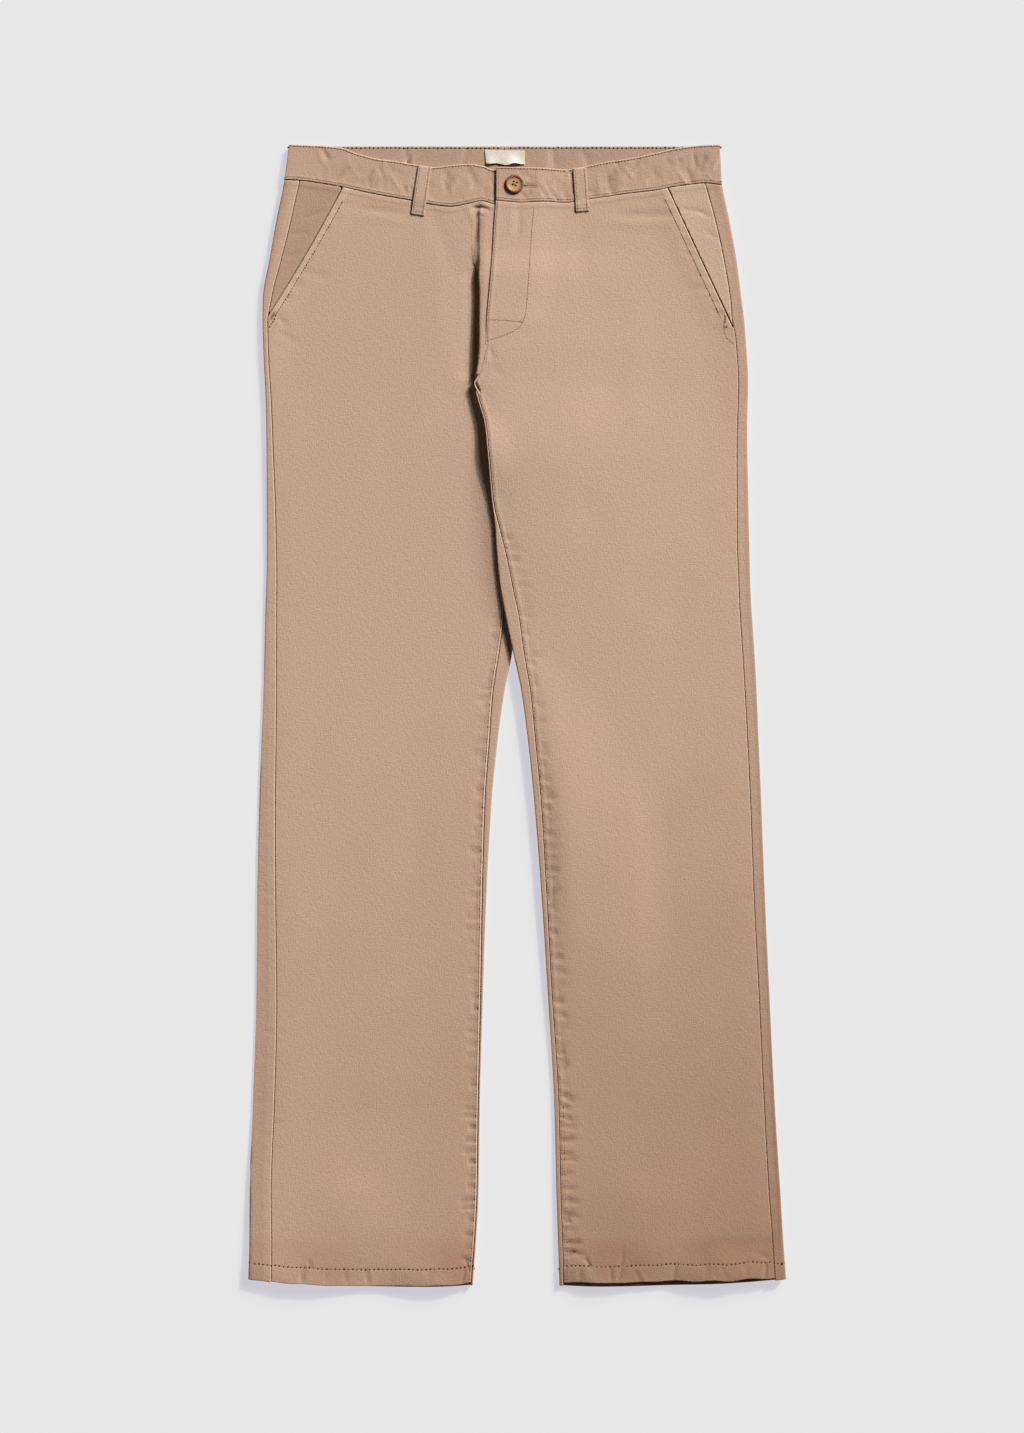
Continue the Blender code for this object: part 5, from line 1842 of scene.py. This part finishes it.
@dataclass
class Studio:
    """A plain pale floor, soft light from the upper right, and a camera straight above."""

    half: float = 12.0
    camera_at: Pair = (-4.7, -0.94)
    view_height: float = 1347.0
    lens: float = 85.0
    sensor: float = 36.0
    lamps: tuple[Pair, ...] = ((2.74, 5.0), (3.14, 26.0))
    lamps_from: Triple = (1.25, 1.4, 1.0)
    sky: float = 0.04

    def build(self) -> None:
        """Makes the floor, the lights and the camera."""
        scene, half = bpy.context.scene, self.half
        scene.view_settings.view_transform = "Standard"
        mesh = bpy.data.meshes.new("floor")
        corners = [(-half, -half, 0), (half, -half, 0), (half, half, 0), (-half, half, 0)]
        mesh.from_pydata(corners, [], [(0, 1, 2, 3)])
        mesh.materials.append(Paper().build())
        floor = placed("floor", mesh)
        for energy, angle in self.lamps:
            light = bpy.data.lights.new("softbox", "SUN")
            light.energy, light.angle = energy, math.radians(angle)
            lamp = placed("softbox", light)
            lamp.rotation_mode = "QUATERNION"
            lamp.rotation_quaternion = Vector(self.lamps_from).to_track_quat("Z", "Y")
        world = bpy.data.worlds.new("studio")
        world.use_nodes = True
        feed(world.node_tree.nodes["Background"], {"Color": (1, 1, 1, 1), "Strength": self.sky})
        scene.world = world
        data = bpy.data.cameras.new("camera")
        data.lens, data.sensor_width = self.lens, self.sensor
        scene.camera = placed("camera", data)
        far = self.view_height * self.lens / self.sensor
        scene.camera.location = (self.camera_at[0] * MM, self.camera_at[1] * MM, far * MM)


@dataclass
class Chinos:
    """The whole garment: panels, waistband, loops, label, button and all its sewing."""

    waist: Edge = Edge(Side.TOP, swell=0.2, turning=5.0, round=0.6)
    hem: Edge = Edge(Side.BOTTOM, swell=0.12, turning=15.2, stitches=(15.6,), wear_and_shade=0.3, round=0.6)
    hem_depth: float = 15.0
    wrinkles: int = 90
    wrinkled: float = 185.0

    def build(self) -> None:
        """Builds the pieces from the back to the front."""
        self.twill = Twill().build()
        backs = [self.back(leg) for leg in LEGS]
        fronts = [self.right_front(), self.left_front()]
        for leg in LEGS:
            self.facing(leg)
        bands = [self.band(leg) for leg in LEGS]
        loops = self.loops()
        edges = [Edge(side, round=0.2) for side in Side]
        label = Label("bare_label", ("label",), wall=0.5, slot="label", edges=edges)
        obj = label.build(Tape().build())
        button = Button()
        x, y, z = button.place()
        face = z + BUTTON_SECTION[0].height * button.thick - 0.15
        pale = Thread("button_thread", top="D9BF95", sunk="4A3018").build()
        button.build(Corozo(at=(x * MM, y * MM, face * MM)).build(), pale)
        self.sew(backs, fronts, bands, loops)

    def back(self, leg: Leg) -> Cloth:
        """Makes one back panel.

        Args:
            leg: Its leg.

        Returns:
            The panel, for its stitches.
        """
        seed, tone = (21, -0.3) if leg is RIGHT else (22, -0.4)
        dimples = puckers(
            seed, lambda down: leg.sign * (leg.outseam(down) + 2.0), leg.sign, (60.0, 1050.0), (0.15, 0.3),
            22.0,
        )
        inseam = Edge(Side.START, band_worn=0.25, turning=16.0)
        outseam = Edge(Side.END, wear_and_shade=0.2, band_worn=0.25, turning=6.0)
        # painted shade: the faces of the rolls that turn to +X are coloured darker
        piece = Back(
            f"back_{leg.name}_panel", (f"back_{leg.name}",), leg=leg, flip=leg is LEFT, hem=self.hem_depth,
            tone=tone, lit_side_shade=0.9, edges=[inseam, outseam, self.waist, self.hem], creases=dimples,
        )
        piece.build(self.twill)
        return piece

    def facing(self, leg: Leg) -> None:
        """One pocket facing."""
        tone, slit = (-0.6, 2.2) if leg is RIGHT else (0.2, 1.2)
        creases = rows_of(
            Crease,
            (166.0, 62.5, 8, 24, 1.6, -0.5), (176.0, 66.0, 24, 14, 1.4, -0.35),
            (184.0, 86.0, 30, 20, 2.2, -0.3), (-190.0, 66.0, -20, 20, 2.0, -0.3),
            (-205.0, 84.0, -8, 16, 2.0, -0.3), (-212.0, 104.0, -14, 14, 2.0, -0.25),
        )
        facing = Facing(
            f"pocket_facing_{leg.name}_cloth", (f"pocket_facing_{leg.name}",), leg=leg, flip=leg is LEFT,
            tone=tone, slit=slit, edges=[Edge(Side.START, wear_and_shade=0.15), self.waist], creases=creases,
        )
        facing.build(self.twill)

    def right_front(self) -> Cloth:
        """The right front panel, with its crumple at the top of the fly."""
        inseam = puckers(3, lambda down: -LIE.inseam(RIGHT, down), -1, (440.0, 1050.0), (0.8, 1.2), 9.0)
        outseam = puckers(5, lambda down: -RIGHT.outseam(down), 1, (190.0, 1040.0), (0.08, 0.25), 26.0)
        mouth = puckers(7, lambda down: -LIE.mouth(RIGHT, down), 1, (55.0, 150.0), (0.35, 0.5), 5.0)
        hem = rows_of(
            Crease,
            (-200.5, 1059.0, 96, 17, 1.4, -1.1), (-194.0, 1050.0, 70, 9, 1.5, -0.8),
            (-178.0, 1060.5, 100, 13, 1.2, -0.6), (-160.5, 1061.5, 84, 14, 1.2, -0.7),
            (-140.5, 1062.5, 78, 16, 1.2, -0.9), (-118.0, 1063.0, 95, 12, 1.8, -0.25),
            (-82.0, 1062.0, 88, 12, 1.8, -0.3), (-50.0, 1061.0, 104, 15, 1.5, -1.0),
            (-46.5, 1052.0, 70, 12, 1.4, -0.8),
        )
        crumple = rows_of(
            Crease,
            (-35.6, 59.2, -4, 12.0, 1.3, -1.2), (-32.8, 61.6, 134, 13.0, 1.2, 1.3),
            (-31.0, 63.8, 134, 11.0, 1.1, -1.2), (-38.2, 78.0, 94, 32.0, 2.4, -0.9),
            (-43.0, 66.0, 75, 15.0, 3.0, 0.4),
        )
        soft = rows_of(
            Crease,
            (-128.0, 62.0, 8.5, 46, 3.8, -0.4), (-128.0, 69.0, 8.5, 40, 4.5, 0.25),
            (-188.0, 122.0, 14, 26, 3.2, -0.3), (-219.5, 166.5, 50, 17, 2.2, -0.45),
            (-214.0, 181.0, 35, 20, 3.0, -0.3), (-70.0, 88.0, 68, 60, 8.0, -0.35),
            (-60.0, 150.0, 86, 90, 9.0, -0.3), (-11.5, 376.0, 82.5, 140, 17.0, 3.8),
            (-155.0, 1014.0, 90, 84, 34.0, 1.1), (-120.0, 300.0, 88, 150, 16.0, -0.25),
            (-160.0, 520.0, 93, 180, 18.0, 0.25), (-90.0, 700.0, 86, 200, 20.0, -0.25),
        )
        edges = [
            Edge(Side.START, swell=0.35, turning=6.2, stitches=(6.2,), wear_and_shade=0.25, band_worn=0.22, stop=158.0),
            Edge(Side.START, wear_and_shade=0.2, start=158.0),
            Edge(Side.END, swell=0.2, turning=4.0, wear_and_shade=0.4, start=224.0),
            self.waist,
            self.hem,
        ]
        # narrow creases: pale wear on their ridges, painted shade in their troughs
        piece = RightFront(
            "front_right_panel", ("front_right",), hem=self.hem_depth, crease_wear_and_shade=0.45, edges=edges,
            creases=[*inseam, *outseam, *mouth, *hem, *crumple, *soft],
        )
        piece.build(self.twill)
        return piece

    def left_front(self) -> Cloth:
        """The left front panel."""
        inseam = puckers(4, lambda down: LIE.inseam(LEFT, down), 1, (370.0, 1050.0), (0.8, 1.5), 8.5)
        outseam = puckers(6, lambda down: LEFT.outseam(down), -1, (200.0, 1040.0), (0.08, 0.25), 26.0)
        mouth = puckers(8, lambda down: LIE.mouth(LEFT, down), -1, (55.0, 165.0), (0.4, 0.55), 5.0)
        hem = rows_of(
            Crease,
            (60.0, 1061.0, 100, 14, 1.5, -0.9), (66.5, 1049.0, 60, 12, 1.4, -0.9),
            (54.0, 1040.5, 4, 16, 1.2, -1.9), (53.0, 1031.0, -6, 14, 1.3, -1.8),
            (52.0, 1006.0, 8, 15, 1.2, -1.5), (52.5, 992.0, -4, 13, 1.2, -1.4),
            (88.0, 1060.0, 82, 16, 1.2, -0.7), (97.5, 1052.0, 97, 28, 1.1, -0.9),
            (113.5, 1062.0, 62, 18, 1.1, -0.5), (118.0, 1061.0, 62, 18, 1.3, 0.3),
            (148.0, 1058.0, 96, 16, 1.4, -0.7), (178.0, 1057.0, 92, 14, 2.0, -0.3),
            (194.0, 1058.0, 66, 16, 1.2, -0.5), (214.0, 1055.0, 84, 16, 1.2, -0.6),
            (233.0, 1057.0, 96, 16, 1.2, -1.0), (231.0, 1043.0, 30, 14, 1.8, -0.5),
        )
        soft = rows_of(
            Crease,
            (120.0, 1014.0, 90, 84, 32.0, 1.1), (-3.8, 72.0, 92, 30, 2.6, 0.35),
            (2.0, 74.0, 92, 34, 3.0, -0.3), (121.0, 66.0, -2, 50, 3.6, -0.5), (118.0, 74.0, 2, 60, 5.0, 0.3),
            (168.0, 134.5, -12, 18, 2.4, -0.35), (60.0, 96.0, 84, 70, 10.0, -0.25),
            (110.0, 210.0, 92, 160, 16.0, 0.3), (60.0, 330.0, 78, 140, 20.0, -0.2),
            (150.0, 480.0, 88, 190, 18.0, -0.25), (90.0, 700.0, 92, 220, 20.0, 0.25),
            (-24.0, 196.0, 70, 16, 2.0, -0.3), (-26.0, 206.0, 62, 18, 2.0, 0.25),
            (-20.0, 212.0, 40, 20, 2.4, -0.3), (-32.3, 203.5, 105, 34, 0.7, -0.9),
            (-37.1, 228.2, 63, 9.5, 0.9, -2.4),
        )
        edges = [
            Edge(Side.START, swell=0.2, turning=4.0, stitches=(1.6,), wear_and_shade=0.6, round=0.6),
            Edge(Side.END, swell=0.15, turning=6.6, band_worn=0.2, round=0.5, stop=170.0),
            Edge(Side.END, wear_and_shade=0.2, round=0.5, start=170.0),
            self.waist,
            self.hem,
        ]
        # narrow creases: pale wear on their ridges, painted shade in their troughs
        piece = LeftFront(
            "front_left_panel", ("front_left",), hem=self.hem_depth, crease_wear_and_shade=0.45, edges=edges,
            creases=[*inseam, *outseam, *mouth, *hem, *soft],
        )
        piece.build(self.twill)
        return piece

    def band(self, leg: Leg) -> Cloth:
        """Makes half of the waistband, wrinkled by its stiffener.

        Args:
            leg: Its side.

        Returns:
            The half, for its stitches.
        """
        draw = np.random.default_rng(11 if leg is RIGHT else 12)
        creases = []
        for _ in range(self.wrinkles):
            across = draw.uniform(0.0, self.wrinkled)
            middle = sum(float(read(leg.band, side, np.array(across))) for side in ("top", "bottom")) / 2
            down, sizes = middle + draw.uniform(-12, 12), ((45, 135), (6, 20), (0.8, 2.2), (-0.65, 0.5))
            creases.append(Crease(leg.sign * across, down, *(draw.uniform(*size) for size in sizes)))
        creases += rows_of(
            Crease,
            (-103.4, 14.0, 84, 24, 1.3, 1.4, True), (-100.8, 14.0, 87, 24, 1.3, -1.1, True),
            (-49.0, 13.0, 95, 22, 1.3, 1.4, True), (-46.8, 13.0, 95, 22, 1.2, -1.0, True),
            (33.0, 12.0, 88, 22, 3.0, 0.9, True), (64.0, 14.0, 70, 18, 2.4, 0.7, True),
        )
        if leg is LEFT:
            creases.append(Crease(10.0, 39.0, 0, 12.0, 1.2, -0.8))
        edges = [
            Edge(Side.START, round=0.1),
            Edge(Side.END, swell=0.2, turning=3.0, stitches=(2.0,), wear_and_shade=0.6, round=0.7),
            Edge(Side.TOP, swell=0.2, turning=2.2, stitches=(1.5,), wear_and_shade=0.3, round=0.7),
            Edge(Side.BOTTOM, swell=0.15, turning=3.4, wear_and_shade=0.8, round=0.5),
        ]
        # painted shade: faces turned to +X are coloured darker; narrow wrinkles get pale wear on their ridges
        # and painted shade in their troughs
        piece = Band(
            f"waistband_{leg.name}_half", (f"waistband_{leg.name}",), wall=1.6, leg=leg, flip=leg is LEFT,
            under_tone=-0.5, crease_wear_and_shade=0.6, tone=-0.2, lit_side_shade=0.9, creases=creases, edges=edges,
        )
        piece.build(self.twill)
        return piece

    def loops(self) -> list[Cloth]:
        """The five belt loops."""
        edges = [
            # painted shade: dark lines along both long edges
            Edge(Side.START, swell=0.15, turning=2.6, stitches=(2.0,), wear_and_shade=-0.5, round=0.6),
            Edge(Side.END, swell=0.15, turning=2.6, stitches=(2.0,), wear_and_shade=-0.5, round=0.6),
            Edge(Side.TOP, wear_and_shade=0.3),
            Edge(Side.BOTTOM, swell=0.2, turning=4.0, stitches=(3.4,), wear_and_shade=0.8),
        ]
        left = LoopPlace(58.6, 22.2, 61.4, 63.4)
        kinds = {
            "front_right": (Loop, {"wall": 1.2, "leg": RIGHT, "flip": True}),
            "front_left": (Loop, {"wall": 1.2, "leg": LEFT, "at": left}),
            "back_right": (BackLoop, {"wall": 1.1, "x": -130.0, "flip": True}),
            "centre_back": (BackLoop, {"wall": 1.1, "x": LIE.centre_back, "flip": True}),
            "back_left": (BackLoop, {"wall": 1.1, "x": 108.0, "flip": True}),
        }
        made = []
        for name, (kind, sizes) in kinds.items():
            made.append(kind(f"belt_loop_{name}_strap", (f"belt_loop_{name}",), edges=edges, **sizes))
            obj = made[-1].build(self.twill)
        return made

    def sew(self, backs: list[Cloth], fronts: list[Cloth], bands: list[Cloth], loops: list[Cloth]) -> None:
        """Makes all the rows of stitches.

        Args:
            backs: The right and the left back panel.
            fronts: The right and the left front panel.
            bands: The right and the left half of the waistband.
            loops: The five belt loops.
        """
        right, left = fronts
        tops, linings, below = [], [], []
        for band in bands:
            top = band.beside(Side.TOP, 1.5)
            behind = top.ups[:, 2] < -0.9
            linings.append(Path((top.points - band.wall * top.ups)[behind], -top.ups[behind]))
            tops.append(top)
            below += [band.beside(Side.BOTTOM, 2.6), band.beside(Side.END, 2.0)]
        left_mouth = [
            left.beside(Side.END, 6.6, 50.0, 162.0),
            left.trace([(194.4, 166.0), (194.2, 174.0), (196.0, 181.0), (201.8, 186.0)]),
        ]
        right_mouth = [
            right.beside(Side.START, 6.2, 50.0, 160.0),
            right.trace([(-225.8, 160.0), (-229.0, 166.5), (-231.6, 170.0)]),
        ]
        j_line = [(15.9, 60.0), (13.8, 83.0), (12.0, 110.5), (10.1, 139.0), (8.3, 159.5), (5.6, 167.5)]
        j_line += [(2.2, 172.5), (-3.0, 176.0), (-10.0, 179.0), (-18.0, 182.0), (-27.3, 184.7)]
        bar = [(-26.4, 165.3), (-10.0, 165.8), (4.0, 167.4)]
        fly = [left.trace(j_line), left.trace(bar), left.beside(Side.START, 1.6, 50.0, 184.0)]
        inseams = [
            right.beside(Side.END, 1.5, 440.0),
            left.beside(Side.START, 1.5, 230.0),
            left.beside(Side.START, 4.2, 900.0),
        ]
        hems = [piece.beside(Side.BOTTOM, 15.6) for piece in (right, left, *backs)]
        sides = ((Side.START, 2.0), (Side.END, 2.0), (Side.BOTTOM, 3.4))
        straps = [loop.beside(side, off) for loop in loops for side, off in sides]
        ends = (
            (left, [(195.4, 160.5), (195.4, 167.0)]), (left, [(194.0, 171.6), (197.5, 170.8)]),
            (right, [(-227.4, 158.0), (-230.6, 164.0)]), (left, [(3.0, 165.8), (5.2, 167.6)]),
        )
        tacks = [piece.trace(line, 0.4) for piece, line in ends]
        hole = [[(6.0, 38.1), (18.0, 38.1)], [(18.0, 39.9), (6.0, 39.9)], [(18.6, 38.0), (18.6, 40.0)]]
        holes = [bands[1].trace(line, 0.4) for line in hole]
        # painted shadow: a dark thread line stands for the shade inside the buttonhole's slit
        slit_shadow_paths = [bands[1].trace([(5.8, 39.0), (9.4, 39.0)], 0.4)]
        thread = Thread().build()
        soft = Thread("buttonhole_thread", top="C5A083", sunk="8A6448").build()
        dark = Thread("buttonhole_painted_shadow", top="4A3020", sunk="2E1A10").build()
        for name, kind, paths, seed, finish in (
            ("waistband_topstitching", Stitch.LOOPED, tops, 2, thread),
            ("waistband_lower_topstitching", Stitch.LOCKSTITCH, below, 12, thread),
            ("waistband_inside_stitching", Stitch.HEM, linings, 11, thread),
            ("left_pocket_topstitching", Stitch.LOCKSTITCH, left_mouth, 3, thread),
            ("right_pocket_topstitching", Stitch.LOOPED, right_mouth, 3, thread),
            ("fly_topstitching", Stitch.LOCKSTITCH, fly, 4, thread),
            ("inseam_stitching", Stitch.LOCKSTITCH, inseams, 5, thread),
            ("hem_stitching", Stitch.HEM, hems, 6, thread),
            ("belt_loop_stitching", Stitch.LOCKSTITCH, straps, 7, thread),
            ("bar_tacks", Stitch.BAR_TACK, tacks, 8, thread),
            ("buttonhole_stitching", Stitch.PURL, holes, 9, soft),
            ("buttonhole_slit_shadow", Stitch.PURL, slit_shadow_paths, 10, dark),
        ):
            Stitching(name, kind, paths, seed).build(finish)


def main() -> None:
    """Builds the stage and the garment, and reports each piece."""
    logging.basicConfig(level=logging.INFO, format="%(name)s: %(message)s")
    Studio().build()
    Chinos().build()
    bpy.context.view_layer.update()


if __name__ == "__main__":
    main()
